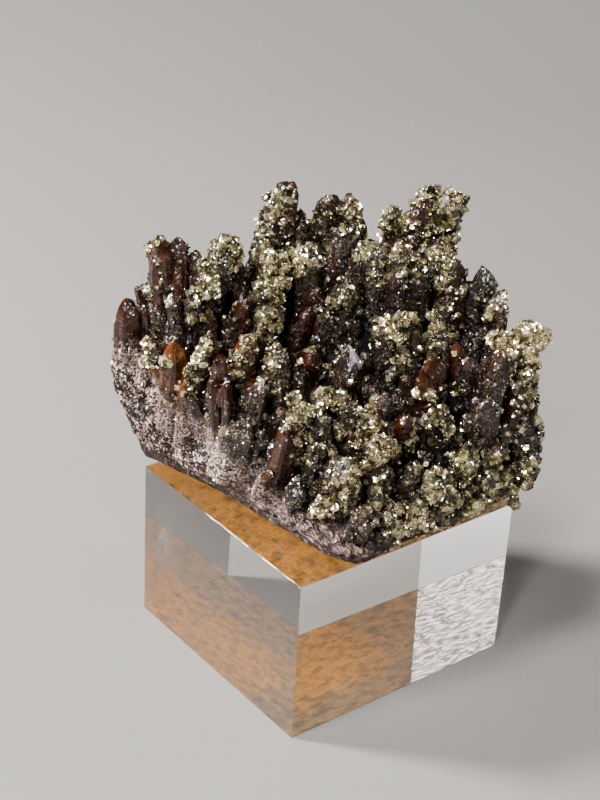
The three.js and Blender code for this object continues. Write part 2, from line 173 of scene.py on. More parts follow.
# Pyrite knobs: middle x, y, z and size
KNOBS = (
    (15.3, -9.5, 38, 3.6), (17.7, -10.5, 37.8, 4), (19.8, -10.2, 37.2, 3.2), (17.3, -12.2, 36.6, 2.2),
    (12, -2.5, 45.5, 2.8), (1, 1, 42, 3.2), (-1, 5, 45, 3), (-3.5, 7.5, 45, 3.6),
    (-14.5, 13.5, 33.5, 2.8), (-10.7, 9.5, 42.5, 2.8), (-8.5, -4.5, 34, 2.8), (-5.5, -6, 34.8, 2.8),
    (-2.8, -10.2, 30.8, 3.4), (-7, -11, 26.8, 3.4), (-8.7, -9, 24, 2.4), (-4, -12.5, 23.5, 2.8),
    (2, -15.2, 27, 3.4), (4.7, -14.5, 23, 3), (6.5, -15, 28, 2.8), (11, -13.8, 25, 3),
    (-0.7, -15, 23, 2.8), (13, -15.4, 22.3, 2.4), (8, -15, 22, 2.6), (4, -5, 39, 3),
    (-5, 5.3, 43, 3.2), (-6.7, 3.6, 40.6, 3.2), (18.6, -11.4, 37.2, 3.2),
    (11.1, 5.4, 47.2, 2.9), (6.4, 7.6, 48.8, 2.3), (17.8, 2.1, 49.6, 2.1),
    (16.6, 2.3, 48.3, 1.7), (17, 2.3, 46.1, 1.9), (16.4, 1.8, 44.6, 2.2),
    (16.3, 2.4, 47.9, 1.9), (15.5, 2.4, 47, 1.9), (15.2, 2.4, 45.8, 2.3),
)

CORNER_KNOBS = (
    (15.3, -16.2, 25.6, 1.8), (14.6, -16.3, 23.6, 2.4), (13.2, -15.9, 22, 2.2), (15.4, -14.2, 22.6, 2.4),
    (17.4, -12, 33, 1.6),
)

# Pyrite clumps as the photo shows them: photo x, y and radius in pixels
PHOTO_CLUMPS = (
    (307, 408, 9), (331, 403, 8), (318, 401, 7), (293, 417, 7), (352, 405, 7),
    (148, 346, 10), (168, 362, 8), (151, 250, 7), (158, 240, 6),
    (207, 268, 12), (207, 292, 10), (222, 243, 9),
    (222, 318, 8), (195, 315, 7), (274, 260, 14), (262, 285, 14), (268, 324, 13), (275, 208, 9),
    (266, 232, 9), (322, 226, 13), (310, 250, 13), (308, 268, 13), (353, 212, 9), (357, 236, 11),
    (372, 247, 12), (394, 255, 12), (390, 221, 13), (342, 298, 16), (376, 283, 8), (433, 198, 10),
    (460, 198, 9), (448, 228, 11), (420, 256, 12), (446, 256, 11), (463, 290, 8), (491, 312, 11),
    (500, 337, 12), (519, 331, 14), (538, 332, 13), (527, 352, 10), (508, 352, 9), (385, 322, 13),
    (410, 318, 10), (434, 325, 12), (452, 338, 9), (390, 368, 11), (368, 384, 8), (330, 372, 9),
    (295, 408, 11), (320, 404, 11), (342, 402, 9), (341, 426, 11), (374, 432, 14), (368, 455, 12),
    (309, 458, 9), (333, 452, 8), (317, 485, 10), (322, 508, 9), (342, 485, 13), (345, 506, 12),
    (380, 485, 11), (378, 502, 5), (367, 510, 5), (369, 521, 7), (347, 515, 6), (436, 482, 15),
    (446, 506, 13), (464, 455, 12), (489, 463, 11), (412, 497, 9), (420, 521, 11), (392, 518, 11),
    (515, 500, 8), (485, 498, 8), (532, 497, 8), (368, 550, 6), (436, 524, 8), (466, 508, 9),
    (398, 536, 8), (458, 388, 9), (455, 408, 7), (533, 366, 6), (535, 418, 5), (272, 372, 9),
    (249, 340, 7), (200, 358, 9), (208, 415, 7), (374, 405, 9), (503, 298, 8), (196, 300, 7),
    (250, 420, 5), (155, 380, 6), (352, 204, 8), (357, 214, 8), (359, 226, 8),
    (357, 418, 9), (365, 445, 9), (448, 490, 9), (470, 490, 8), (428, 500, 8), (460, 515, 8),
)

# Spots that stay free of pyrite, as the photo shows them: photo x, y and radius in pixels
BARE_SPOTS = (
    (533, 425, 10), (535, 441, 10), (533, 456, 8), (424, 388, 10), (421, 404, 8), (434, 438, 8),
    (409, 328, 9), (166, 264, 9), (170, 280, 9), (428, 372, 8), (255, 440, 8), (404, 436, 7),
    (297, 212, 8), (303, 201, 6), (524, 390, 8), (508, 392, 10), (490, 400, 10),
    (237, 430, 12), (240, 446, 10), (291, 470, 9), (354, 450, 7), (264, 430, 8), (316, 437, 7),
)


def fraction(value: float) -> float:
    """Returns the part of a value after its decimal point."""
    return value - math.floor(value)


def scatter(count: int, step: float) -> float:
    """Returns a steady scatter from 0 to 1, the same each time for the same count and step."""
    return fraction(0.5 + count * step)


def linear(code: str) -> Colour:
    """Turns a screen colour into linear light.

    Args:
        code: six hexadecimal digits.
    Returns:
        Red, green, blue and one.
    """
    parts = [int(code[k:k + 2], 16) / 255 for k in (0, 2, 4)]
    red, green, blue = (
        c / CURVE_RATE if c <= CURVE_LIMIT else ((c + CURVE_OFFSET) / CURVE_SCALE) ** CURVE_POWER
        for c in parts
    )
    return (red, green, blue, 1.0)


def unit(vectors: Array) -> Array:
    """Returns the vectors at length one."""
    return vectors / np.maximum(np.linalg.norm(vectors, axis=-1, keepdims=True), 1e-9)


def smooth_loop(points: Array, along: Array) -> Array:
    """Reads a closed Catmull-Rom curve.

    Args:
        points: the curve's points, one a row.
        along: places on the curve, where 0 to 1 is once round.
    Returns:
        One row for each place.
    """
    count = len(points)
    place = np.mod(along, 1.0) * count
    start = np.floor(place).astype(int) % count
    u = (place - np.floor(place))[:, None]
    a, b, c, d = (points[(start + k) % count] for k in (-1, 0, 1, 2))
    bend = (c - a) * u + (2 * a - 5 * b + 4 * c - d) * u**2 + (3 * b - a - 3 * c + d) * u**3
    return b + bend / 2


def waves(points: Array, size: float, seed: int) -> Array:
    """Returns a smooth field of plane waves over points, mostly from -1 to 1.

    Args:
        points: places, one a row.
        size: the length of the field's patches.
        seed: the number that picks the field.
    Returns:
        One value for each place.
    """
    rng = np.random.default_rng(seed)
    total = np.zeros(len(points))
    wave_count = 9
    for _ in range(wave_count):
        direction = unit(rng.normal(size=3)) * rng.uniform(0.6, 1.6) * 2 * math.pi / (2 * size)
        total += np.sin(points @ direction + rng.uniform(0, 2 * math.pi))
    return total / math.sqrt(wave_count)


def frames_on(normals: Array, rng: np.random.Generator) -> Array:
    """Returns a turned frame on each normal.

    Args:
        normals: unit vectors, one a row.
        rng: draws the turn about each normal.
    Returns:
        Matrices whose third column is the normal.
    """
    helper = unit(rng.normal(size=normals.shape))
    first = unit(np.cross(helper, normals))
    second = np.cross(normals, first)
    return np.stack([first, second, normals], axis=2)


def random_frames(count: int, rng: np.random.Generator) -> Array:
    """Returns that many frames turned every way."""
    return frames_on(unit(rng.normal(size=(count, 3))), rng)


def ring_skin(levels: int, size: int) -> tuple[Array, Array, Array]:
    """Returns the faces of a closed skin of rings whose last point is its tip.

    Args:
        levels: the number of rings.
        size: the points of each ring.
    Returns:
        The quads between the rings, the triangles at the tip and the foot.
    """
    here = np.arange(size)
    there = (here + 1) % size
    quads = [
        np.column_stack([here, there, there + size, here + size]) + level * size
        for level in range(levels - 1)
    ]
    last = (levels - 1) * size
    tips = np.column_stack([here + last, there + last, np.full(size, levels * size)])
    return np.vstack(quads), tips, here[::-1][None, :]


@dataclass(frozen=True)
class Shape:
    """A small closed solid: its corners and its faces, grouped by their number of corners."""

    points: Array
    faces: tuple[Array, ...]

    @staticmethod
    def cube() -> "Shape":
        """Returns a cube with half an edge of one."""
        points = np.array([(x, y, z) for z in (-1, 1) for y in (-1, 1) for x in (-1, 1)], float)
        quads = np.array([
            (0, 2, 3, 1), (4, 5, 7, 6), (0, 1, 5, 4), (2, 6, 7, 3), (0, 4, 6, 2), (1, 3, 7, 5),
        ])
        return Shape(points, (quads,))

    @staticmethod
    def cut_cube() -> "Shape":
        """Returns a cube whose corners are cut off to the middles of its edges."""
        solid = bmesh.new()
        corners = [(x, y, 0) for x in (-1, 1) for y in (-1, 1)]
        for x, y, z in corners:
            for turned in ((x, y, z), (z, x, y), (y, z, x)):
                solid.verts.new(turned)
        bmesh.ops.convex_hull(solid, input=solid.verts)
        bmesh.ops.dissolve_limit(solid, angle_limit=0.02, verts=solid.verts, edges=solid.edges)
        return Shape.from_bmesh(solid)

    @staticmethod
    def double_pyramid() -> "Shape":
        """Returns an octahedron whose corners are one away from its middle."""
        points = np.array([(1, 0, 0), (-1, 0, 0), (0, 1, 0), (0, -1, 0), (0, 0, 1), (0, 0, -1)], float)
        upper = [(0, 2, 4), (2, 1, 4), (1, 3, 4), (3, 0, 4)]
        lower = [(2, 0, 5), (1, 2, 5), (3, 1, 5), (0, 3, 5)]
        return Shape(points, (np.array(upper + lower),))

    @staticmethod
    def ball(divisions: int) -> "Shape":
        """Returns a sphere of radius one with triangles of like size."""
        solid = bmesh.new()
        bmesh.ops.create_icosphere(solid, subdivisions=divisions, radius=1)
        return Shape.from_bmesh(solid)

    @staticmethod
    def point(
        sides: int = 6, shoulder: float = 0.55, foot: float = -0.3, narrowing: float = 0.9,
        apex: Point = (0.12, 0.05, 1.0),
    ) -> "Shape":
        """Returns a small quartz point of radius and height one that stands on its foot.

        Args:
            sides: the number of side faces.
            shoulder: the height where the faces of the point begin.
            foot: the height of the buried end.
            narrowing: the radius at the shoulder.
            apex: the place of the tip.
        Returns:
            The closed shape.
        """
        angles = 2 * math.pi * np.arange(sides) / sides
        ring = np.stack([np.cos(angles), np.sin(angles)], axis=1)
        low = np.column_stack([ring, np.full(sides, foot)])
        high = np.column_stack([ring * narrowing, np.full(sides, shoulder)])
        return Shape(np.vstack([low, high, [apex]]), ring_skin(2, sides))

    @staticmethod
    def from_bmesh(solid: bmesh.types.BMesh) -> "Shape":
        """Reads a bmesh, outward side out, and frees it."""
        bmesh.ops.recalc_face_normals(solid, faces=solid.faces)
        solid.verts.index_update()
        points = np.array([v.co[:] for v in solid.verts])
        groups: dict[int, list[list[int]]] = {}
        for face in solid.faces:
            groups.setdefault(len(face.verts), []).append([v.index for v in face.verts])
        solid.free()
        return Shape(points, tuple(np.array(g) for g in groups.values()))


@dataclass
class Pile:
    """Many closed shapes that become one mesh."""

    name: str
    points: list[Array] = field(default_factory=list)
    faces: list[Array] = field(default_factory=list)
    shades: list[Array] = field(default_factory=list)
    extra: dict[str, Array] = field(default_factory=dict)
    count: int = 0
    box: tuple[Array, Array] | None = None

    def add(self, points: Array, faces: Sequence[Array], shade: float | Array) -> None:
        """Adds one shape.

        Args:
            points: its corners in millimetres.
            faces: its faces, grouped by their number of corners.
            shade: the shade of the whole shape or of each corner.
        """
        self.points.append(points)
        self.faces.extend(group + self.count for group in faces)
        self.shades.append(np.broadcast_to(np.asarray(shade, float), (len(points),)))
        self.count += len(points)

    def stamp(self, shape: Shape, places: Array, frames: Array, sizes: Array, shades: Array) -> None:
        """Adds a shape at many places.

        Args:
            shape: what is repeated.
            places: the middle of each copy.
            frames: the turn of each copy.
            sizes: the three half sizes of each copy.
            shades: the shade of each copy.
        """
        if len(places) == 0:
            return
        scaled = shape.points[None] * sizes[:, None, :]
        points = places[:, None, :] + np.einsum("mij,mnj->mni", frames, scaled)
        steps = (np.arange(len(places)) * len(shape.points))[:, None, None]
        faces = [(group[None] + steps).reshape(-1, group.shape[1]) for group in shape.faces]
        self.add(points.reshape(-1, 3), faces, np.repeat(shades, len(shape.points)))

    def triangles(self) -> tuple[Array, Array]:
        """Returns all corners and the faces cut into triangles."""
        fans = []
        for group in self.faces:
            for k in range(1, group.shape[1] - 1):
                fans.append(group[:, (0, k, k + 1)])
        return np.concatenate(self.points), np.concatenate(fans)

    def write(self, material: bpy.types.Material, smooth: bool = False) -> bpy.types.Object:
        """Makes the mesh and its object.

        Args:
            material: the finish of every face.
            smooth: whether the faces are shaded as one rounded surface.
        Returns:
            The object, at the origin.
        """
        mesh = bpy.data.meshes.new(self.name)
        points = np.concatenate(self.points)
        if self.box is not None:
            points = np.clip(points, *self.box)
        points = points * MM
        sizes = np.concatenate([np.full(len(group), group.shape[1]) for group in self.faces])
        loops = np.concatenate([group.ravel() for group in self.faces])
        mesh.vertices.add(len(points))
        mesh.vertices.foreach_set("co", points.astype(np.float32).ravel())
        mesh.loops.add(len(loops))
        mesh.loops.foreach_set("vertex_index", loops.astype(np.int32))
        mesh.polygons.add(len(sizes))
        mesh.polygons.foreach_set("loop_start", (np.cumsum(sizes) - sizes).astype(np.int32))
        mesh.polygons.foreach_set("use_smooth", np.full(len(sizes), smooth))
        values = {SHADE: np.concatenate(self.shades), **self.extra}
        for name, numbers in values.items():
            attribute = mesh.attributes.new(name, "FLOAT", "POINT")
            attribute.data.foreach_set("value", numbers.astype(np.float32))
        mesh.update(calc_edges=True)
        mesh.validate()
        mesh.materials.append(material)
        piece = bpy.data.objects.new(self.name, mesh)
        bpy.context.scene.collection.objects.link(piece)
        return piece

    def ground(self) -> BVHTree:
        """Returns the tree that rays are cast on, in millimetres."""
        points, triangles = self.triangles()
        return BVHTree.FromPolygons(points.tolist(), triangles.tolist())

    def sample(self, count: int, rng: np.random.Generator) -> tuple[Array, Array]:
        """Picks places evenly over the surface.

        Args:
            count: how many.
            rng: draws them.
        Returns:
            The places and the outward directions there.
        """
        points, triangles = self.triangles()
        a, b, c = (points[triangles[:, k]] for k in range(3))
        across = np.cross(b - a, c - a)
        area = np.linalg.norm(across, axis=1)
        pick = rng.choice(len(area), size=count, p=area / area.sum())
        u, v = rng.random(count), rng.random(count)
        fold = u + v > 1
        u, v = np.where(fold, 1 - u, u)[:, None], np.where(fold, 1 - v, v)[:, None]
        places = a[pick] + u * (b[pick] - a[pick]) + v * (c[pick] - a[pick])
        return places, unit(across[pick])


def keep_piece(piece: bpy.types.Object, node: str) -> bpy.types.Object:
    """Puts a finished piece on its body, in place of its solid.

    Args:
        piece: the object.
        node: the solid that it stands for.
    Returns:
        The same object.
    """
    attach(piece, BODY)
    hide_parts(node)
    LOG.info("%s: %d faces", piece.name, len(piece.data.polygons))
    return piece


@dataclass(frozen=True)
class Link:
    """A socket of a material's nodes. Arithmetic on it adds Math nodes."""

    kit: "NodeKit"
    socket: bpy.types.NodeSocket

    def math(self, operation: str, first: "Value", second: "Value") -> "Link":
        """Adds a Math node on two values."""
        return self.kit.node("Math", {"operation": operation}, {0: first, 1: second})

    def __add__(self, other: "Value") -> "Link":
        """Adds a value."""
        return self.math("ADD", self, other)

    def __radd__(self, other: "Value") -> "Link":
        """Is added to a value."""
        return self.math("ADD", other, self)

    def __sub__(self, other: "Value") -> "Link":
        """Takes a value off."""
        return self.math("SUBTRACT", self, other)

    def __rsub__(self, other: "Value") -> "Link":
        """Is taken off a value."""
        return self.math("SUBTRACT", other, self)

    def __mul__(self, other: "Value") -> "Link":
        """Multiplies by a value."""
        return self.math("MULTIPLY", self, other)

    def __rmul__(self, other: "Value") -> "Link":
        """Multiplies a value."""
        return self.math("MULTIPLY", other, self)

    def above(self, low: float, high: float) -> "Link":
        """Returns 0 at or under low, 1 at or over high and a smooth step between."""
        settings = {"interpolation_type": "SMOOTHSTEP"}
        return self.kit.node("MapRange", settings, {0: self, 1: low, 2: high})

    def ramp(self, *stops: tuple[float, Colour]) -> "Link":
        """Returns the colour of a ramp at this value."""
        return self.kit.node("ValToRGB", {"stops": stops}, {0: self})


Value = Link | float


@dataclass(frozen=True)
class NodeKit:
    """A new material and the one way to add nodes to it."""

    material: bpy.types.Material

    @staticmethod
    def begin(name: str) -> "NodeKit":
        """Returns a kit on an empty material of that name."""
        material = bpy.data.materials.new(name)
        material.use_nodes = True
        material.node_tree.nodes.clear()
        return NodeKit(material)

    def node(
        self, kind: str, settings: Mapping[str, Any], inputs: Mapping[str | int, Any], output: str | int = 0
    ) -> Link:
        """Adds one node.

        Args:
            kind: the node's type, without its ShaderNode prefix.
            settings: the node's own fields, set before its sockets. stops are a ramp's places and colours.
            inputs: a value or a link for each socket, by name or by place.
            output: the socket that is read.
        Returns:
            That socket.
        """
        tree = self.material.node_tree
        made = tree.nodes.new("ShaderNode" + kind)
        for name, value in settings.items():
            if name == "stops":
                self.set_stops(made.color_ramp, value)
            else:
                setattr(made, name, value)
        for name, value in inputs.items():
            if isinstance(value, Link):
                tree.links.new(value.socket, made.inputs[name])
            else:
                made.inputs[name].default_value = value
        return Link(self, made.outputs[output])

    @staticmethod
    def set_stops(ramp: bpy.types.ColorRamp, stops: Sequence[tuple[float, Colour]]) -> None:
        """Gives a colour ramp its stops."""
        while len(ramp.elements) < len(stops):
            ramp.elements.new(0.5)
        for element, (place, colour) in zip(ramp.elements, stops, strict=True):
            element.position = place
            element.color = colour

    def attribute(self, name: str) -> Link:
        """Reads a number that the mesh carries."""
        return self.node("Attribute", {"attribute_name": name}, {}, "Fac")

    def place(self, stretch: Point = (1.0, 1.0, 1.0)) -> Link:
        """Returns the place on the object in millimetres, stretched along each axis."""
        here = self.node("TexCoord", {}, {}, "Object")
        factor = tuple(s / MM for s in stretch)
        return self.node("VectorMath", {"operation": "MULTIPLY"}, {0: here, 1: factor})

    def axis(self, where: Link, number: int) -> Link:
        """Returns one coordinate of a place."""
        return self.node("SeparateXYZ", {}, {0: where}, number)

    def noise(self, where: Link, scale: float, detail: float = 3.0, rough: float = 0.55) -> Link:
        """Returns cloud noise from 0 to 1 with patches of one over scale."""
        inputs = {"Vector": where, "Scale": scale, "Detail": detail, "Roughness": rough}
        return self.node("TexNoise", {}, inputs, "Fac")

    def cells(self, where: Link, scale: float, output: str = "Distance") -> Link:
        """Returns cell noise: the distance to a cell's middle, or the cell's own colour."""
        return self.node("TexVoronoi", {}, {"Vector": where, "Scale": scale}, output)

    def blend(self, mask: Value, low: Any, high: Any) -> Link:
        """Returns the low colour where the mask is 0 and the high one where it is 1."""
        return self.node("Mix", {"data_type": "RGBA"}, {0: mask, 6: low, 7: high}, 2)

    def shadow(self, colour: Link, amount: Link) -> Link:
        """Returns a colour times a grey."""
        settings = {"data_type": "RGBA", "blend_type": "MULTIPLY"}
        return self.node("Mix", settings, {0: 1.0, 6: colour, 7: amount}, 2)

    def facets(self, where: Link, size: float, tilt: Value) -> Link:
        """Returns a normal that turns each small cell of the surface its own way, as tiny crystals do.

        Args:
            where: the place on the object in millimetres.
            size: a cell's width.
            tilt: how far the normals turn.
        Returns:
            The normal.
        """
        cell = self.cells(where, 1 / size, "Color")
        turn = self.node("VectorMath", {"operation": "SUBTRACT"}, {0: cell, 1: (0.5, 0.5, 0.5)})
        scaled = self.node("VectorMath", {"operation": "SCALE"}, {0: turn, "Scale": tilt})
        normal = self.node("NewGeometry", {}, {}, "Normal")
        tilted = self.node("VectorMath", {"operation": "ADD"}, {0: normal, 1: scaled})
        return self.node("VectorMath", {"operation": "NORMALIZE"}, {0: tilted})

    def principled(self, inputs: Mapping[str | int, Any]) -> Link:
        """Returns the usual surface with these sockets set."""
        return self.node("BsdfPrincipled", {}, inputs)

    def finish(self, surface: Link) -> bpy.types.Material:
        """Gives the material its surface and returns it."""
        tree = self.material.node_tree
        output = tree.nodes.new("ShaderNodeOutputMaterial")
        tree.links.new(surface.socket, output.inputs["Surface"])
        return self.material


@dataclass(frozen=True)
class QuartzFinish:
    """Smoky to orange-brown quartz whose faces are partly grown over with tiny sparkling crystals."""

    name: str
    transmission: float
    black: Colour = linear("110d0c")
    smoky: Colour = linear("2e1b13")
    red: Colour = linear("3f1b07")
    amber: Colour = linear("824513")
    # Painted sheen: pale grey that stands for reflected light on tip facets and druse points; at the left
    # foot it is also the real pale frost of the points.
    pale: Colour = linear("7f7880")
    frost: Colour = linear("8f8176")
    snow: Colour = linear("bda598")
    dimmer: Colour = (0.3, 0.27, 0.26, 1.0)
    brighter: Colour = (1.2, 1.15, 1.1, 1.0)
    refraction: float = 1.54
    druse_size: float = 0.2
    gloss: float = 0.5
    polish: float = 0.12
    grown_polish: float = 0.16
    tilt: float = 0.18
    sparkle: float = 0.9
    frosting: float = 0.6
    snow_share: float = 0.9

    def make(self) -> bpy.types.Material:
        """Builds the material."""
        kit = NodeKit.begin(self.name)
        where = kit.place()
        # The lowest stop, pale, is the painted sheen; the others are the quartz's own tones.
        body = kit.attribute(SHADE).ramp(
            (0.0, self.pale), (0.08, self.black), (0.32, self.smoky), (0.58, self.red), (0.85, self.amber)
        )
        shade = kit.noise(where, 0.8, 4.0).ramp((0.32, self.dimmer), (0.68, self.brighter))
        grown = kit.noise(where, 0.75, 3.0).above(0.42, 0.58)
        speck = kit.noise(where, 5.0, 2.0).above(0.56, 0.66)
        crust = kit.noise(where, 3.6, 3.0).above(0.45, 0.56)
        colour = kit.blend(speck * grown * self.frosting, kit.shadow(body, shade), self.frost)
        colour = kit.blend(crust * self.foot_mask(kit, where) * self.snow_share, colour, self.snow)
        inputs = {
            "Base Color": colour,
            "Roughness": self.polish + grown * self.grown_polish,
            "IOR": self.refraction,
            "Specular IOR Level": self.gloss,
            "Transmission Weight": self.transmission,
            "Normal": kit.facets(where, self.druse_size, self.tilt + grown * self.sparkle),
        }
        return kit.finish(kit.principled(inputs))

    @staticmethod
    def foot_mask(kit: NodeKit, where: Link) -> Link:
        """Returns 1 along the foot of the left side, with a wandering edge, and 0 elsewhere."""
        wander = kit.noise(where, 0.5, 2.0) * 4.0 - 2.0
        x, y, z = (kit.axis(where, k) for k in range(3))
        beside = (x + y * SIDE_SLANT + wander).above(-8.5, -11.0)
        low = (z - y * FOOT_SLOPE + wander).above(26.8, 24.6)
        return beside * low


@dataclass(frozen=True)
class PyriteFinish:
    """Brassy pyrite, each grain a little lighter or darker."""

    name: str = "pyrite"
    dark: Colour = linear("4a4639")
    olive: Colour = linear("9a9477")
    brass: Colour = linear("e6daac")
    bright: Colour = linear("fff3cc")
    stained: Colour = (0.32, 0.29, 0.24, 1.0)
    metal: float = 0.95
    polish: float = 0.08
    dullness: float = 0.22
    facet_size: float = 0.27
    tilt: float = 0.5

    def make(self) -> bpy.types.Material:
        """Builds the material."""
        kit = NodeKit.begin(self.name)
        where = kit.place()
        body = kit.attribute(SHADE).ramp(
            (0.0, self.dark), (0.35, self.olive), (0.7, self.brass), (1.0, self.bright)
        )
        stain = kit.noise(where, 0.9, 5.0).ramp((0.4, self.stained), (0.56, WHITE))
        inputs = {
            "Base Color": kit.shadow(body, stain),
            "Metallic": self.metal,
            "Roughness": self.polish + kit.noise(where, 4.0, 2.0) * self.dullness,
            "Normal": kit.facets(where, self.facet_size, self.tilt),
        }
        return kit.finish(kit.principled(inputs))


@dataclass(frozen=True)
class MatrixFinish:
    """Pinkish grey broken matrix: granular above, with mauve fibres along its foot."""

    name: str = "matrix"
    pink: Colour = linear("5e443a")
    white: Colour = linear("c8b1a5")
    mauve: Colour = linear("33221d")
    brown: Colour = linear("150f0d")
    # Painted shade: near-black for the top of the hill between the crystals and for the right front side
    inside: Colour = linear("0a0706")
    # Painted shade along the foot, where the matrix meets the block
    shaded: Colour = (0.5, 0.45, 0.42, 1.0)
    foot: float = BLOCK_HEIGHT
    gloss: float = 0.3
    facet_size: float = 0.2
    tilt: float = 0.9

    def make(self) -> bpy.types.Material:
        """Builds the material."""
        kit = NodeKit.begin(self.name)
        where = kit.place()
        patch = kit.noise(where, 0.7, 4.0)
        # Painted shade: where the hill's top lies between the crystals it is painted near-black.
        shaded_top = kit.attribute(RISE).above(1.05, 1.2)
        inputs = {
            "Base Color": kit.blend(shaded_top, self.side(kit, where, patch), self.inside),
            "Roughness": 0.35 + patch * 0.3 + shaded_top * 0.5,
            "Specular IOR Level": self.gloss,
            "Normal": kit.facets(where, self.facet_size, self.tilt),
        }
        return kit.finish(kit.principled(inputs))

    def granular(self, kit: NodeKit, where: Link, patch: Link) -> Link:
        """Returns the colour of the broken grains."""
        mixed = patch * 1.25 + kit.noise(where, 3.3, 2.0) * 1.25 + kit.cells(where, 4.4) * -0.5 - 0.59
        return mixed.ramp((0.4, self.brown), (0.51, self.pink), (0.65, self.white))

    def fibrous(self, kit: NodeKit, where: Link, height: Link) -> Link:
        """Returns the colour of the fibres, which run round the foot."""
        along = kit.attribute(ALONG) * 1.1
        drift = kit.noise(where, 0.4) * 2.0
        fibres = kit.node("CombineXYZ", {}, {0: along, 1: height * 5.0, 2: drift})
        streak = kit.noise(fibres, 1.0, 4.0, 0.65) + height * 0.012
        return streak.ramp((0.45, self.brown), (0.53, self.mauve), (0.63, self.pink), (0.76, self.white))

    def side(self, kit: NodeKit, where: Link, patch: Link) -> Link:
        """Returns the colour of the sides: fibrous low down, granular above, with painted shade along the
        foot and near-black painted shade at the right front.
        """
        height = kit.axis(where, 2) - self.foot
        wander = kit.noise(where, 0.35, 2.0) - 0.5
        behind = kit.axis(where, 1).above(-2.0, 12.0)
        low = (height + wander * 3.0 + behind * 3.0).above(5.6, 4.0)
        colour = kit.blend(low, self.granular(kit, where, patch), self.fibrous(kit, where, height))
        # Painted shade: the sides darken over the last two millimetres above the block.
        contact_shade = (height + wander * 2.0).above(2.4, 0.4)
        colour = kit.shadow(colour, contact_shade.ramp((0.0, WHITE), (1.0, self.shaded)))
        # Painted shade: the right front side is painted near-black.
        right = (kit.axis(where, 0) + wander * 6.0).above(-6.0, -3.0)
        front = (kit.axis(where, 1) + wander * 6.0).above(-5.0, -9.0)
        return kit.blend(right * front, colour, self.inside)


@dataclass(frozen=True)
class ClearFinish:
    """Polished clear acrylic whose underside carries a flecked tan film."""

    name: str = "clear_block"
    clear: Colour = (0.97, 0.98, 0.985, 1.0)
    tan: Colour = linear("a46a20")
    slate: Colour = linear("6e5e49")
    fleck: Colour = linear("7e521e")
    # Painted shade: darker, greyer colours for the film ahead and at the right
    shaded_tan: Colour = linear("7d6040")
    shaded_slate: Colour = linear("5a534c")
    shaded_fleck: Colour = linear("634a2c")
    dull: Colour = (0.5, 0.54, 0.62, 1.0)
    lit: Colour = (1.15, 1.1, 1.0, 1.0)
    refraction: float = 1.49
    film_height: float = 0.03
    film_share: float = 0.76
    whole_share: float = 0.22

    def make(self) -> bpy.types.Material:
        """Builds the material."""
        kit = NodeKit.begin(self.name)
        where = kit.place()
        under = kit.axis(where, 2).above(self.film_height * 2, self.film_height)
        worn = kit.noise(kit.place((0.7, 1.3, 1.0)), 0.9, 5.0, 0.75)
        glass = kit.principled({
            "Base Color": self.clear,
            "Roughness": 0.0,
            "IOR": self.refraction,
            "Transmission Weight": 1.0,
        })
        share = under * (self.film_share + worn.above(0.4, 0.56) * self.whole_share)
        surface = kit.node("MixShader", {}, {0: share, 1: glass, 2: self.film(kit, where)})
        return kit.finish(surface)

    def film(self, kit: NodeKit, where: Link) -> Link:
        """Returns the film: tan behind, with clouds and flecks; ahead and at the right it is greyer and
        darker, as painted shade.
        """
        flecks = kit.noise(kit.place((0.6, 1.8, 1.0)), 2.0, 2.0, 0.5)
        ahead = (kit.axis(where, 1) + kit.noise(where, 0.25, 2.0) * 8.0).above(0.5, -6.0)
        aside = (kit.axis(where, 0) + kit.noise(where, 0.3, 2.0) * 8.0).above(3.0, 9.0)
        cloud = kit.noise(where, 0.5, 4.0).ramp((0.38, self.dull), (0.56, self.lit))
        tone = self.flecked(flecks, self.slate, self.tan, self.fleck)
        # Painted shade: the film ahead and at the right takes these darker, greyer colours.
        shaded_film = self.flecked(flecks, self.shaded_slate, self.shaded_tan, self.shaded_fleck)
        return kit.principled({
            "Base Color": kit.shadow(kit.blend(ahead + aside * 0.8, tone, shaded_film), cloud),
            "Roughness": 0.5,
            "Specular IOR Level": 0.1,
        })

    @staticmethod
    def flecked(flecks: Link, low: Colour, middle: Colour, high: Colour) -> Link:
        """Returns a middle colour with flecks of two others in it."""
        return flecks.ramp((0.37, low), (0.44, middle), (0.56, middle), (0.63, high))


@dataclass(frozen=True)
class FloorFinish:
    """A plain pale floor that stays pale beyond the reach of the lamps."""

    name: str = "floor"
    pale: Colour = linear("625f5c")
    paler: Colour = linear("666360")
    far: float = 2500.0
    glow_stops: tuple[tuple[float, float], ...] = ((0.08, 0.0), (0.2, 0.3), (0.4, 0.49), (0.8, 0.54))

    def make(self) -> bpy.types.Material:
        """Builds the material."""
        kit = NodeKit.begin(self.name)
        where = kit.place()
        tint = kit.noise(where, 0.004, 2.0).ramp((0.3, self.pale), (0.7, self.paler))
        reach = kit.node("VectorMath", {"operation": "LENGTH"}, {0: where}, "Value") * (1 / self.far)
        glow = reach.ramp(*((place, (level, level, level, 1.0)) for place, level in self.glow_stops))
        inputs = {"Base Color": tint, "Roughness": 0.7, "Emission Color": glow, "Emission Strength": 1.0}
        return kit.finish(kit.principled(inputs))


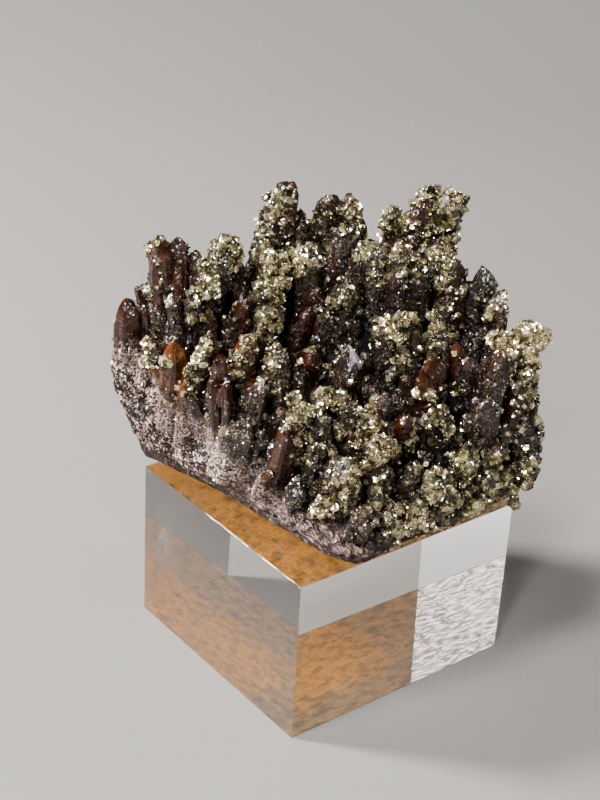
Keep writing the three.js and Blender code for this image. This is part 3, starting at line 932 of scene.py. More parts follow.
@dataclass
class MatrixHill:
    """The broken piece of matrix that the crystals grew on."""

    contact: Array = field(default_factory=lambda: np.array([
        (-7.7, -13.5), (-9.9, -4), (-10.8, 3.8), (-12, 9.5), (-13.2, 14.4),
        (-13.2, 17), (-6, 16.5), (1, 15.5), (8, 15), (13.5, 12),
        (14.5, 4), (14.2, -5), (13.2, -12.2), (6, -13.2), (-1, -13.6),
    ]))
    rim: Array = field(default_factory=lambda: np.array([
        (-8.6, -13.9, 1.5), (-10.8, -4, 3), (-12, 3.3, 4.5), (-14.2, 9.5, 6.5), (-16.5, 14, 9.5),
        (-17.3, 18, 13.5), (-8, 19.5, 13), (1, 18.5, 12.5), (9, 17, 11.5), (15.5, 13, 11),
        (17.2, 4, 12), (17.5, -6, 9.5), (16, -14, 4), (7, -14.8, 2.5), (-1, -14.6, 2),
    ]))
    foot_height: float = BLOCK_HEIGHT
    foot_gap: float = 0.03
    crest_x: float = 3.5
    crest_y: float = 6.5
    crest_height: float = 19.0
    crest_along: float = 9.5
    crest_across: float = 2.0
    crest_turn: float = -0.66
    slope_power: float = 1.35
    columns: int = 400
    side_rows: int = 24
    top_rows: int = 40
    bulge: float = 0.35
    smoothing_passes: int = 3
    fibre_top: float = 0.6
    fibre_fade: float = 0.3
    settled_rows: int = 2
    coarse_level: float = 0.45
    coarse_rate: float = 1.1
    coarse_depth: float = 0.9
    fine_level: float = 0.4
    fine_rate: float = 2.8
    fine_depth: float = 0.25
    thread_along: float = 0.4
    thread_rise: float = 16.0
    thread_depth: float = 0.3
    pile: Pile = field(default_factory=lambda: Pile("matrix"))

    def surface(self, around: Array, reach: Array) -> Array:
        """Returns points of the upper side.

        Args:
            around: places along the rim from 0 to 1.
            reach: 0 at the crest and 1 at the rim.
        Returns:
            One point for each pair.
        """
        rim = smooth_loop(self.rim, around)
        angle = np.arctan2(rim[:, 1] - self.crest_y, rim[:, 0] - self.crest_x) - self.crest_turn
        along, across = self.crest_along * np.cos(angle), self.crest_across * np.sin(angle)
        cos, sin = math.cos(self.crest_turn), math.sin(self.crest_turn)
        crest_x = self.crest_x + cos * along - sin * across
        crest_y = self.crest_y + sin * along + cos * across
        x = crest_x + (rim[:, 0] - crest_x) * reach
        y = crest_y + (rim[:, 1] - crest_y) * reach
        fall = (self.crest_height - rim[:, 2]) * (1 - reach) ** self.slope_power
        return np.column_stack([x, y, self.foot_height + rim[:, 2] + fall])

    def rows(self) -> tuple[Array, Array]:
        """Returns the skin's rows of points from the foot to the crest, and each row's rise."""
        around = np.arange(self.columns) / self.columns
        foot = smooth_loop(self.contact, around)
        foot = np.column_stack([foot, np.full(self.columns, self.foot_height + self.foot_gap)])
        edge = self.surface(around, np.ones(self.columns))
        away = edge[:, :2] - [self.crest_x, self.crest_y]
        outward = unit(np.column_stack([away, np.zeros(self.columns)]))
        rows, rise = [], []
        for k in range(self.side_rows):
            share = k / self.side_rows
            swell = self.bulge * math.sin(math.pi * share)
            rows.append(foot + (edge - foot) * share + outward * swell)
            rise.append(share)
        for k in range(self.top_rows):
            reach = 1 - k / self.top_rows
            rows.append(self.surface(around, np.full(self.columns, reach)))
            rise.append(2 - reach)
        grid = np.array(rows)
        for _ in range(self.smoothing_passes):
            grid[1:-1] = (grid[:-2] + 2 * grid[1:-1] + grid[2:]) / 4
        return grid, np.array(rise)

    def build(self) -> None:
        """Makes the hill's grainy skin."""
        grid, rise = self.rows()
        round_step = np.roll(grid, -1, axis=1) - np.roll(grid, 1, axis=1)
        up_step = np.gradient(grid, axis=0)
        outward = unit(np.cross(round_step, up_step))
        gap = np.linalg.norm(np.diff(grid[0], axis=0, append=grid[0][:1]), axis=1)
        along = np.tile(np.cumsum(gap), (len(grid), 1))
        lift = self.relief(grid, rise, along)
        grid = grid + outward * lift[:, :, None]
        grid[:, :, 2] = np.maximum(grid[:, :, 2], self.foot_height + self.foot_gap)
        count, columns = grid.shape[:2]
        crest = grid[-1].mean(axis=0)[None]
        points = np.vstack([grid.reshape(-1, 3), crest])
        self.pile.add(points, ring_skin(count, columns), 0.5)
        self.pile.extra[RISE] = np.append(np.repeat(rise, columns), 2.0)
        self.pile.extra[ALONG] = np.append(along.ravel(), 0.0)

    def dress(self) -> None:
        """Makes the piece."""
        self.pile.box = specimen_box()
        keep_piece(self.pile.write(MatrixFinish().make()), CLUSTER_NODE)

    def relief(self, grid: Array, rise: Array, along: Array) -> Array:
        """Works out how far each point stands out: grains above, fibres along the foot.

        Args:
            grid: the smooth points.
            rise: each row's rise.
            along: the length along the foot.
        Returns:
            Millimetres for each point.
        """
        lift = np.zeros(grid.shape[:2])
        for level, row in enumerate(grid):
            fibrous = float(np.clip((self.fibre_top - rise[level]) / self.fibre_fade, 0, 1))
            settled = min(1.0, level / self.settled_rows)
            for column, point in enumerate(row):
                spot = Vector(point)
                coarse = self.coarse_level - noise.voronoi(spot * self.coarse_rate)[0][0]
                fine = self.fine_level - noise.voronoi(spot * self.fine_rate)[0][0]
                run = (along[level, column] * self.thread_along, rise[level] * self.thread_rise, 0.0)
                thread = noise.noise(Vector(run))
                grain = self.coarse_depth * coarse + self.fine_depth * fine
                fibre = self.thread_depth * thread + self.thread_depth * fine
                lift[level, column] = settled * ((1 - fibrous) * grain + fibrous * fibre)
        return lift


@dataclass
class CrystalForm:
    """How one quartz crystal is shaped: a six-sided shaft with grooves and a rounded, skewed point."""

    sides: int = 6
    taper: float = 0.9
    point_length: float = 0.56
    bevel: float = 0.16
    groove: float = 0.03
    ring_gap: float = 0.42
    wide_gap: float = 0.85
    slender: float = 2.0
    swell: float = 0.07
    blunt: float = 0.95
    drift: float = 0.12
    skew: float = 0.12
    corner_reach: tuple[float, float] = (0.84, 1.08)
    fill: float = 0.05
    narrowing: float = 0.1
    apex_drift: float = 0.16
    tip_rings: tuple[float, ...] = (0.4, 0.72, 0.93)
    lump_size: float = 0.35
    lump_growth: float = 0.25

    def build(self, length: float, width: float, rough: float, rng: np.random.Generator) -> Shape:
        """Makes one crystal that stands on the origin.

        Args:
            length: foot to apex.
            width: across the shaft at the foot.
            rough: 0 for clean faces and 1 for rounded, lumpy ones.
            rng: draws its irregularities.
        Returns:
            The closed shape.
        """
        radius = width / 2
        corner = np.arange(self.sides)
        angle = 2 * math.pi * corner / self.sides + rng.uniform(-self.drift, self.drift, self.sides)
        reach = radius * rng.uniform(*self.corner_reach, self.sides)
        shoulder = length - width * self.point_length
        lean = self.skew * np.where(corner % 2, 1, -1)
        skew = width * (lean + rng.uniform(-self.skew, self.skew, self.sides))
        following = np.append(angle[1:], angle[0] + 2 * math.pi)
        half_way = (angle + following) / 2
        flat = (reach + np.roll(reach, -1)) / 2 * (math.cos(math.pi / self.sides) + self.fill * rough)
        angles = np.column_stack([angle - self.bevel, angle + self.bevel, half_way]).ravel()
        reaches = np.column_stack([reach, reach, flat]).ravel()
        tops = np.column_stack([skew, skew, (skew + np.roll(skew, -1)) / 2]).ravel() + shoulder
        compass = np.column_stack([np.cos(angles), np.sin(angles)])
        rings = []
        count = max(3, int(shoulder / (self.ring_gap if width > self.slender else self.wide_gap)))
        for share in np.linspace(0, 1, count + 1):
            scale = 1 - (1 - self.taper) * share + rng.uniform(-self.groove, self.groove)
            scale -= self.narrowing * rough * max(0.0, 1 - (1 - share) * shoulder / (0.5 * width))
            rings.append(np.column_stack([compass * (reaches * scale)[:, None], tops * share]))
        apex = np.array([*(rng.uniform(-self.apex_drift, self.apex_drift, 2) * width), length])
        last_ring = rings[-1]
        for share in self.tip_rings:
            ring = last_ring + (apex - last_ring) * share
            ring[:, :2] = apex[:2] + (ring[:, :2] - apex[:2]) * (1 + self.blunt * rough * share)
            rings.append(ring)
        points = np.vstack(rings)
        lumps = waves(points + rng.uniform(0, 90, 3), self.lump_size + self.lump_growth * width, 3)
        points[:, :2] *= (1 + self.swell * rough * lumps)[:, None]
        points = np.vstack([points, apex])
        return Shape(points, ring_skin(len(rings), len(angles)))


@dataclass
class Growth:
    """One crystal to grow: its apex, axis, width, pyrite and tone."""

    tip: Array
    axis: Array
    width: float
    crust: Crust
    tone: float
    length: float = 0.0
    rough: float = 1.0

    def glows(self) -> bool:
        """Tells whether the crystal is red or lighter."""
        return self.tone > GLOW_TONE

    def lent_tone(self) -> float:
        """Returns the tone that it lends to its neighbours."""
        return min(self.tone or Tone.SMOKY.value, LENT_LIMIT)


@dataclass
class Thicket:
    """All quartz crystals, from the tall ones of the outline to the small ones between them."""

    hill: MatrixHill
    ground: BVHTree
    box: tuple[Array, Array]
    form: CrystalForm = field(default_factory=CrystalForm)
    filler_spots: int = 40
    spot_reach: float = 0.97
    near_line: float = 3.0
    near_height: float = 4.2
    far_height: float = 6.5
    extra_height: float = 4.0
    cut_fillers: tuple[int, ...] = (1, 27, 35)
    cut_height: float = 4.5
    filler_width: float = 2.1
    golden_turn: float = 2.399963 / (2 * math.pi)
    fan_rate: float = 0.02
    lean_range: float = 0.4
    root_depth: float = 1.0
    small_spots: int = 280
    side_count: int = 5
    glowing_count: int = 2
    side_lean: float = 0.8
    peak_height: float = 48.0
    peak_drop: float = 0.6
    fullness: float = 1.2
    # Painted shade: how much darker a crystal gets for each millimetre below its tip, and the darkest tone
    # it gets
    painted_shade_rate: float = 0.03
    darkest: float = 0.09
    # The share of a sheen crystal's width below its tip that takes the painted sheen
    painted_sheen_share: float = 0.5
    small_reach: float = 0.9
    fan_middle: tuple[float, float] = (-4.0, 8.0)
    near_side: tuple[float, float] = (0.6, 0.8)
    width_range: float = 1.1
    tone_drift: float = 0.04
    facing_limit: float = 0.04
    side_width: tuple[float, float] = (0.34, 0.7)
    side_drop: tuple[float, float] = (0.3, 2.4)
    side_offset: tuple[float, float] = (0.32, 0.5)
    side_length: tuple[float, float] = (2.0, 3.2)
    side_tone: tuple[float, float] = (0.4, 1.1)
    small_width: tuple[float, float] = (1.2, 2.5)
    small_height: tuple[float, float] = (0.45, 0.9)
    small_tone: tuple[float, float] = (0.2, 0.9)
    least_height: float = 2.0
    clean_rough: float = 0.2
    usual_rough: float = 0.8
    usual_length: float = 5.0
    lean_power: float = 1.5
    lean_offset: float = 0.35
    side_wander: float = 0.1
    small_wander: float = 0.2
    small_turn: float = 0.3
    seed: int = 11
    listed: list[Growth] = field(default_factory=list)
    piles: list[Pile] = field(default_factory=list)

    def grow_row(self, row: tuple[Any, ...]) -> Growth:
        """Turns a table row into a crystal to grow."""
        x, y, z, lean_x, lean_y, width, crust, tone = row
        axis = unit(np.array([lean_x, lean_y, 1.0]))
        rough = self.clean_rough if tone is PAINTED_SHEEN else self.usual_rough
        width *= self.fullness
        return Growth(np.array([x, y, z], float), axis, width, crust, tone.value, rough=rough)

    def fillers(self) -> list[Growth]:
        """Returns the evenly spread crystals between the listed ones."""
        grown = []
        for count in range(self.filler_spots):
            reach = math.sqrt((count + 0.5) / self.filler_spots) * self.spot_reach
            foot = self.hill.surface(np.array([count * self.golden_turn]), np.array([reach]))[0]
            near = self.near_side[0] * foot[0] + self.near_side[1] * foot[1] < self.near_line
            lean_x, lean_y = (
                self.fan_rate * (foot[k] - self.fan_middle[k])
                + self.lean_range * (scatter(count, step) - 0.5)
                for k, step in enumerate((LEAN_X_STEP, LEAN_Y_STEP))
            )
            height = self.near_height if near else self.far_height
            height += self.extra_height * scatter(count, RISE_STEP) * (1.2 - reach)
            axis = unit(np.array([lean_x, lean_y, 1.0]))
            width = self.filler_width + self.width_range * scatter(count, WIDTH_STEP)
            if count in self.cut_fillers:
                height -= self.cut_height
            tip = foot + np.array([lean_x, lean_y, 1.0]) * height
            tone = self.tone_near(tip) * (0.5 + 0.5 * scatter(count, SPIN_STEP))
            grown.append(Growth(tip, axis, width, BARE, tone))
        return grown

    def tone_near(self, place: Array) -> float:
        """Returns the tone of the listed crystals around a place."""
        gaps = np.array([np.linalg.norm(c.tip - place) for c in self.listed])
        weights = 1 / (gaps + 0.5) ** 4
        tones = np.array([c.lent_tone() for c in self.listed])
        return float(weights @ tones / weights.sum())

    def root(self, crystal: Growth) -> None:
        """Gives a crystal the length that reaches into the ground below it."""
        hit = self.ground.ray_cast(Vector(crystal.tip), Vector(-crystal.axis))
        crystal.length = (self.usual_length if hit[3] is None else hit[3]) + self.root_depth

    def place(self, crystal: Growth, pile: Pile, rng: np.random.Generator) -> None:
        """Adds one crystal to a pile, with painted shade that darkens it towards its foot, in the gaps
        between crystals.
        """
        shape = self.form.build(crystal.length, crystal.width, crystal.rough, rng)
        turn = frames_on(crystal.axis[None], rng)[0]
        foot = crystal.tip - crystal.axis * crystal.length
        tone = crystal.tone + rng.uniform(-self.tone_drift, self.tone_drift)
        drop = crystal.length - shape.points[:, 2]
        # Painted sheen: tip facets that face one way take the pale grey of reflected light; below them the
        # tone is smoky with painted shade.
        if crystal.tone == Tone.PAINTED_SHEEN.value:
            facing = shape.points[:, :2] @ unit(rng.normal(size=2)) / crystal.width
            clear = (drop < crystal.width * self.painted_sheen_share) & (facing > self.facing_limit)
            shades = np.where(clear, 0.0, Tone.SMOKY.value - self.painted_shade_rate * drop)
        else:
            # Painted shade: the tone darkens with the drop below the tip.
            shades = np.clip(tone - self.painted_shade_rate * drop, self.darkest, 1.0)
        pile.add(foot + shape.points @ turn.T, shape.faces, shades)

    def beside(self, host: Growth, rng: np.random.Generator) -> list[Growth]:
        """Returns the smaller crystals that grew against a host."""
        grown = []
        extra = self.peak_drop if host.tip[2] > self.peak_height else 0
        for _ in range(self.glowing_count if host.glows() else self.side_count):
            out = frames_on(host.axis[None], rng)[0][:, 0]
            width = host.width * rng.uniform(*self.side_width)
            drop = host.width * (rng.uniform(*self.side_drop) + extra)
            lean = rng.uniform(0.0, self.side_lean) ** self.lean_power
            axis = unit(host.axis + out * lean + rng.normal(size=3) * self.side_wander)
            offset = rng.uniform(*self.side_offset) + self.lean_offset * lean
            tip = host.tip - host.axis * drop + out * host.width * offset
            length = min(host.length - drop, width * rng.uniform(*self.side_length))
            tone = host.lent_tone() * rng.uniform(*self.side_tone)
            if length > width:
                grown.append(Growth(tip, axis, width, BARE, tone, length))
        return grown

    def between(self, around: Sequence[Growth], rng: np.random.Generator) -> list[Growth]:
        """Returns small crystals that fill the gaps, a little lower than those around them."""
        feet = np.array([c.tip - c.axis * c.length for c in around])
        axes = np.array([c.axis for c in around])
        heights = np.array([c.length for c in around])
        grown = []
        for count in range(self.small_spots):
            reach = math.sqrt((count + 0.5) / self.small_spots) * self.small_reach
            around = count * self.golden_turn + self.small_turn
            foot = self.hill.surface(np.array([around]), np.array([reach]))[0]
            weight = 1 / (np.linalg.norm(feet - foot, axis=1) + 0.6) ** 3
            weight /= weight.sum()
            axis = unit(weight @ axes + rng.normal(size=3) * self.small_wander)
            share = rng.uniform(*self.small_height)
            height = max(self.least_height, float(weight @ heights) * share - self.root_depth)
            width = rng.uniform(*self.small_width)
            tip = foot + axis * height
            tone = self.tone_near(tip) * rng.uniform(*self.small_tone)
            grown.append(Growth(tip, axis, width, BARE, tone, height + self.root_depth))
        return grown

    def build(self) -> None:
        """Grows every crystal into its pile."""
        rng = np.random.default_rng(self.seed)
        smoky, red = Pile("smoky_crystals"), Pile("red_crystals")
        sides, small = Pile("side_crystals"), Pile("small_crystals")
        self.listed = [self.grow_row(row) for row in PEAKS + SLOPE + INFILL]
        grown = self.listed + self.fillers()
        for crystal in grown:
            self.root(crystal)
            self.place(crystal, red if crystal.glows() else smoky, rng)
        for host in grown:
            for crystal in self.beside(host, rng):
                if inside(crystal.tip[None], self.box, crystal.width / 2)[0]:
                    self.place(crystal, sides, rng)
        for crystal in self.between(grown, rng):
            if inside(crystal.tip[None], self.box, crystal.width / 2)[0]:
                self.place(crystal, small, rng)
        self.piles = [smoky, red, sides, small]
        for pile in self.piles:
            pile.box = self.box

    def dress(self) -> None:
        """Makes the pieces with their quartz."""
        smoky = QuartzFinish("smoky_quartz", 0.2).make()
        red = QuartzFinish("red_quartz", 0.6, gloss=0.14, sparkle=0.45, frosting=0.08).make()
        for pile in self.piles:
            piece = pile.write(red if pile.name == "red_crystals" else smoky)
            keep_piece(piece, CLUSTER_NODE)


@dataclass
class Druse:
    """The tiny quartz points that make the big faces sparkle."""

    count: int = 6000
    low: float = 0.08
    high: float = 0.22
    # The share of points that take a painted glint, the pale grey of reflected light
    painted_sheen_share: float = 0.4
    foot_side: float = -9.0
    foot_top: float = 26.0
    bed_side: float = -7.0
    bed_slope: float = 0.22
    bed_top: float = 22.8
    patch_size: float = 2.2
    patch_level: float = -0.1
    margin: float = 0.5
    outward: float = 0.75
    upward: float = 0.8
    spread: float = 0.25
    slenderness: tuple[float, float] = (1.5, 3.2)
    tones: tuple[float, float] = (0.15, 0.6)
    seed: int = 23
    pile: Pile = field(default_factory=lambda: Pile("quartz_druse"))

    def build(self, hosts: Sequence[Pile], box: tuple[Array, Array]) -> None:
        """Scatters points over the hosts.

        Args:
            hosts: the piles that carry them.
            box: the corners that no point passes.
        """
        rng = np.random.default_rng(self.seed)
        share = self.count // len(hosts)
        for host in hosts:
            places, normals = host.sample(share, rng)
            x, y, z = places.T
            beside = x + SIDE_SLANT * y
            foot = (beside < self.foot_side) & (z - FOOT_SLOPE * y < self.foot_top)
            bedded = (beside < self.bed_side) & (z - self.bed_slope * y < self.bed_top)
            overgrown = waves(places, self.patch_size, 5) > self.patch_level
            keep = (overgrown | foot) & ~bedded & inside(places, box, self.margin)
            places, normals, foot = places[keep], normals[keep], foot[keep]
            aim = normals * self.outward + np.array([0.0, 0.0, self.upward])
            up = unit(aim + rng.normal(size=places.shape) * self.spread)
            radius = rng.uniform(self.low, self.high, len(places))
            sizes = np.column_stack([radius, radius, radius * rng.uniform(*self.slenderness, len(places))])
            # Painted glint: a share of the points take pale grey as sparkle; at the left foot all are pale,
            # as the real frost there.
            clear = (rng.random(len(places)) < self.painted_sheen_share) | foot
            shades = np.where(clear, 0.0, rng.uniform(*self.tones, len(places)))
            self.pile.stamp(Shape.point(), places, frames_on(up, rng), sizes, shades)

    def dress(self) -> None:
        """Makes the piece."""
        finish = QuartzFinish("druse_quartz", 0.35)
        keep_piece(self.pile.write(finish.make()), CLUSTER_NODE)


def inside(places: Array, box: tuple[Array, Array], margin: float) -> Array:
    """Tells which places stand at least a margin inside a box."""
    low, high = box
    return np.all((places > low + margin) & (places < high - margin), axis=1)


@dataclass
class PyriteCoat:
    """Brassy pyrite: lumps, and crusts of small grains over the lumps and the crystals."""

    box: tuple[Array, Array]
    grain: tuple[float, float] = (0.17, 0.8)
    trials: int = 150000
    budget: int = 22500
    speck: tuple[float, float] = (0.11, 0.26)
    speck_budget: int = 17500
    open_length: float = 2.4
    core_share: float = 0.7
    crust_reach: float = 1.3
    rough: float = 0.32
    stray: float = 0.1
    knob_spread: Point = (0.19, 0.19, 0.24)
    # Spots where the grains are made lighter or darker: the first is painted light, where the corner knob
    # catches the lamps; the others darken the grains.
    painted_light_and_dull_spots: tuple[tuple[Point, float, float], ...] = (
        ((17.0, -10.5, 37.5), 6.0, 0.8), ((1.0, 1.0, 42.0), 4.5, -0.55),
        ((-6.7, 3.6, 41.5), 4.5, -0.3), ((0.0, 9.5, 49.0), 6.5, -0.45),
    )
    apron_count: int = 15
    apron_start: Point = (-3.2, -13.9, 20.5)
    apron_step: tuple[float, float] = (1.22, 0.09)
    apron_row: Point = (0.6, 0.3, 1.7)
    knob_lumps: int = 4
    knob_share: float = 0.32
    clump_lumps: int = 3
    clump_spread: float = 0.3
    clump_share: float = 0.5
    clump_depth: float = 0.35
    flank_drops: tuple[float, ...] = (0.4, 1.0, 1.6, 2.2)
    flank_way: Point = (-0.75, -0.35, 0.0)
    flank_shift: float = 0.4
    flank_reach: float = 0.55
    glowing_reach: float = 0.38
    cap_drop: float = 0.3
    cap_reach: float = 0.75
    fine_radius: float = 0.95
    lump_patch: float = 0.55
    lump_stretch: tuple[float, float] = (0.8, 1.15)
    # Painted shade: the lumps under the grains are dark, so the gaps between grains look dark
    lump_painted_shade: float = 0.2
    stray_way: Point = (-0.75, 0.05, 0.65)
    dust_way: Point = (-0.75, -0.15, 0.65)
    cores: Pile = field(default_factory=lambda: Pile("pyrite_lumps"))
    left_grains: Pile = field(default_factory=lambda: Pile("pyrite_grains_left"))
    right_grains: Pile = field(default_factory=lambda: Pile("pyrite_grains_right"))
    specks: Pile = field(default_factory=lambda: Pile("pyrite_specks"))
    middles: list[Array] = field(default_factory=list)
    reaches: list[float] = field(default_factory=list)
    bare: list[tuple[Array, float]] = field(default_factory=list)
    rng: np.random.Generator = field(default_factory=lambda: np.random.default_rng(37))
    shapes: tuple[Shape, ...] = field(
        default_factory=lambda: (Shape.cube(), Shape.cube(), Shape.cut_cube(), Shape.double_pyramid())
    )

    def patch(self, middle: Array, reach: float) -> None:
        """Notes a place that pyrite has grown over."""
        self.middles.append(middle)
        self.reaches.append(reach)

    def cover_crystal(self, crystal: Growth) -> None:
        """Notes the patches on a crystal's point or down its flank."""
        if crystal.crust is CAP:
            middle = crystal.tip - crystal.axis * crystal.width * self.cap_drop
            self.patch(middle, crystal.width * self.cap_reach)
        if crystal.crust is FLANK:
            side = unit(np.array(self.flank_way)) * crystal.width * self.flank_shift
            reach = self.glowing_reach if crystal.glows() else self.flank_reach
            for drop in self.flank_drops:
                self.patch(crystal.tip + side - crystal.axis * crystal.width * drop, crystal.width * reach)

    def lump(self, middle: Array, radius: float) -> None:
        """Adds one dark lump and notes the patch around it; its darkness is painted shade for the gaps
        between the grains.

        Args:
            middle: its middle.
            radius: its mean radius.
        """
        core = Shape.ball(3 if radius > self.fine_radius else 2)
        swell = 1 + self.rough * waves(core.points * radius + middle, self.lump_patch, 3)
        stretch = self.rng.uniform(*self.lump_stretch, 3)
        points = middle + core.points * (radius * self.core_share * swell)[:, None] * stretch
        self.cores.add(points, core.faces, self.lump_painted_shade)
        self.patch(middle, radius * self.crust_reach)

    def set_knobs(self) -> None:
        """Sets the table's knobs, each a cluster of lumps."""
        for x, y, z, size in KNOBS + CORNER_KNOBS:
            middle = np.array([x, y, z], float)
            for _ in range(self.knob_lumps):
                shift = self.rng.normal(size=3) * np.array(self.knob_spread) * size
                self.lump(middle + shift, size * self.knob_share)

    def set_apron(self) -> None:
        """Sets two rows of lumps along the front, where the matrix meets the block."""
        start_x, start_y, start_z = self.apron_start
        row_x, row_y, row_z = self.apron_row
        for k in range(2 * self.apron_count):
            row, step = divmod(k, self.apron_count)
            x = start_x + self.apron_step[0] * step + row_x * row
            y = start_y + self.apron_step[1] * step - 0.4 * scatter(k, LEAN_Y_STEP) - row_y * row
            z = start_z + row_z * row + 0.9 * scatter(k, LEAN_X_STEP)
            self.lump(np.array([x, y, z]), 0.85 + 0.35 * scatter(k, SPIN_STEP))

    def set_clumps(self, eye: "Viewpoint", carriers: Sequence[BVHTree]) -> None:
        """Sets each clump of the photo on the crystal or matrix that it shows on.

        Args:
            eye: the camera that the pixels are read with.
            carriers: what a clump may sit on.
        """
        for u, v, radius in PHOTO_CLUMPS:
            found = self.shown(eye, carriers, u, v)
            if found is None:
                LOG.info("no carrier at %d, %d", u, v)
                continue
            place, distance = found
            size = radius * distance / eye.focal
            middle = place + eye.ray(u, v)[1] * size * self.clump_depth
            for _ in range(self.clump_lumps):
                shift = self.rng.normal(size=3) * size * self.clump_spread
                self.lump(middle + shift, size * self.clump_share)

    @staticmethod
    def shown(
        eye: "Viewpoint", carriers: Sequence[BVHTree], u: float, v: float
    ) -> tuple[Array, float] | None:
        """Finds what a pixel shows.

        Args:
            eye: the camera that the pixel is read with.
            carriers: what the pixel may show.
            u: the pixel's place from the left.
            v: the pixel's place from the top.
        Returns:
            The place and its distance, or None where no carrier is.
        """
        start, direction = eye.ray(u, v)
        hits = [tree.ray_cast(Vector(start), Vector(direction)) for tree in carriers]
        hits = [hit for hit in hits if hit[3] is not None]
        if not hits:
            return None
        nearest = min(hits, key=lambda hit: hit[3])
        return np.array(nearest[0]), nearest[3]

    def keep_bare(self, eye: "Viewpoint", carriers: Sequence[BVHTree]) -> None:
        """Notes the places of crystals and matrix that pyrite leaves free.

        Args:
            eye: the camera that the pixels are read with.
            carriers: what the places are on.
        """
        for u, v, radius in BARE_SPOTS:
            found = self.shown(eye, carriers, u, v)
            if found is not None:
                place, distance = found
                self.bare.append((place, radius * distance / eye.focal))

    def grow_grains(self, hosts: Sequence[Pile], carriers: Sequence[BVHTree]) -> None:
        """Grows grains over the noted patches, and a few elsewhere on upper left faces.

        Args:
            hosts: the piles that carry grains.
            carriers: the same piles as trees, for leaving out what is buried.
        """
        places, normals = self.pick(hosts, self.trials, self.worth)
        self.stamp_grains(self.unburied(places, normals, carriers, self.budget))

    def grow_specks(self, hosts: Sequence[Pile], carriers: Sequence[BVHTree]) -> None:
        """Dusts the faces that look up and to the left with the finest grains.

        Args:
            hosts: the piles that carry specks.
            carriers: the same piles as trees, for leaving out what is buried.
        """
        places, normals = self.pick(hosts, self.trials // 2, self.dusting)
        places = self.unburied(places, normals, carriers, self.speck_budget)
        places = places[inside(places, self.box, self.speck[1])]
        count = len(places)
        halves = self.draw_halves(count, self.speck, 2, (0.8, 1.3))
        shades = np.clip(self.rng.normal(0.7, 0.25, count), 0.1, 1.0)
        self.specks.stamp(Shape.double_pyramid(), places, random_frames(count, self.rng), halves, shades)

    def pick(
        self, hosts: Sequence[Pile], trials: int, likely: Callable[[Array, Array], Array]
    ) -> tuple[Array, Array]:
        """Picks places on the hosts.

        Args:
            hosts: the piles that are picked from.
            trials: how many places are tried on each.
            likely: tells how likely each place is kept.
        Returns:
            The places and the outward directions there.
        """
        spots, turns = [], []
        for host in hosts:
            places, normals = host.sample(trials, self.rng)
            kept = self.rng.random(len(places)) < likely(places, normals)
            spots.append(places[kept])
            turns.append(normals[kept])
        return np.concatenate(spots), np.concatenate(turns)

    def dusting(self, places: Array, normals: Array) -> Array:
        """Returns how likely a speck lies at each place."""
        facing = normals @ unit(np.array(self.dust_way))
        patchy = 0.45 + 0.6 * waves(places, 0.8, 9)
        return np.clip(0.3 + 0.7 * facing, 0, 1) * np.clip(patchy, 0, 1)

    def draw_halves(
        self, count: int, sizes: tuple[float, float], power: float, uneven: tuple[float, float]
    ) -> Array:
        """Draws the three half sizes of each grain.

        Args:
            count: how many grains.
            sizes: the least and the greatest width.
            power: how strongly small ones outnumber the rest.
            uneven: the range that each half size is multiplied by.
        Returns:
            One row for each grain.
        """
        low, high = sizes
        half = low / 2 + (high - low) / 2 * self.rng.random(count) ** power
        return half[:, None] * self.rng.uniform(*uneven, (count, 3))

    def unburied(self, places: Array, normals: Array, carriers: Sequence[BVHTree], limit: int) -> Array:
        """Picks places at random that have free space before them.

        Args:
            places: the places to pick from.
            normals: the outward directions there.
            carriers: what may bury a place.
            limit: the most that are picked.
        Returns:
            The picked places.
        """
        free = []
        ways = unit(normals + np.array([0.0, 0.0, 0.9]) + self.rng.normal(size=normals.shape) * 0.3)
        for k in self.rng.permutation(len(places)):
            start = Vector(places[k] + normals[k] * 0.05)
            way = Vector(ways[k])
            if all(tree.ray_cast(start, way, self.open_length)[3] is None for tree in carriers):
                free.append(places[k])
            if len(free) == limit:
                break
        LOG.info("pyrite: %d free places", len(free))
        return np.array(free)

    def worth(self, places: Array, normals: Array) -> Array:
        """Returns how likely a grain grows at each place."""
        best = np.full(len(places), -9.0)
        for middle, reach in zip(self.middles, self.reaches, strict=True):
            best = np.maximum(best, 1 - np.linalg.norm(places - middle, axis=1) / reach)
        patchy = best * 2.2 + 0.75 * waves(places, 0.6, 7) + 0.2
        facing = normals @ unit(np.array(self.stray_way))
        x, y, z = places.T
        stray = np.where((facing > 0.1) & (waves(places, 0.9, 9) > 0.1) & (z > 27), self.stray, 0.0)
        apron = np.clip((x + 4) / 3, 0, 1) * np.clip((-9.5 - y) / 3, 0, 1) * np.clip((33 - z) / 6, 0, 1)
        apron = apron * (0.5 + 0.4 * waves(places, 0.7, 8))
        growth = np.clip(np.maximum(np.maximum(patchy, stray), apron), 0, 1)
        for middle, reach in self.bare:
            gap = np.linalg.norm(places - middle, axis=1) / reach
            growth = growth * np.clip(2 * gap - 1, 0, 1)
        return growth

    def stamp_grains(self, places: Array) -> None:
        """Adds one grain at each place that stands inside the box."""
        places = places[inside(places, self.box, self.grain[1] * 0.6)]
        count = len(places)
        pick = self.rng.integers(0, len(self.shapes), count)
        halves = self.draw_halves(count, self.grain, 3.0, (0.75, 1.25))
        shades = self.rng.normal(0.55, 0.34, count)
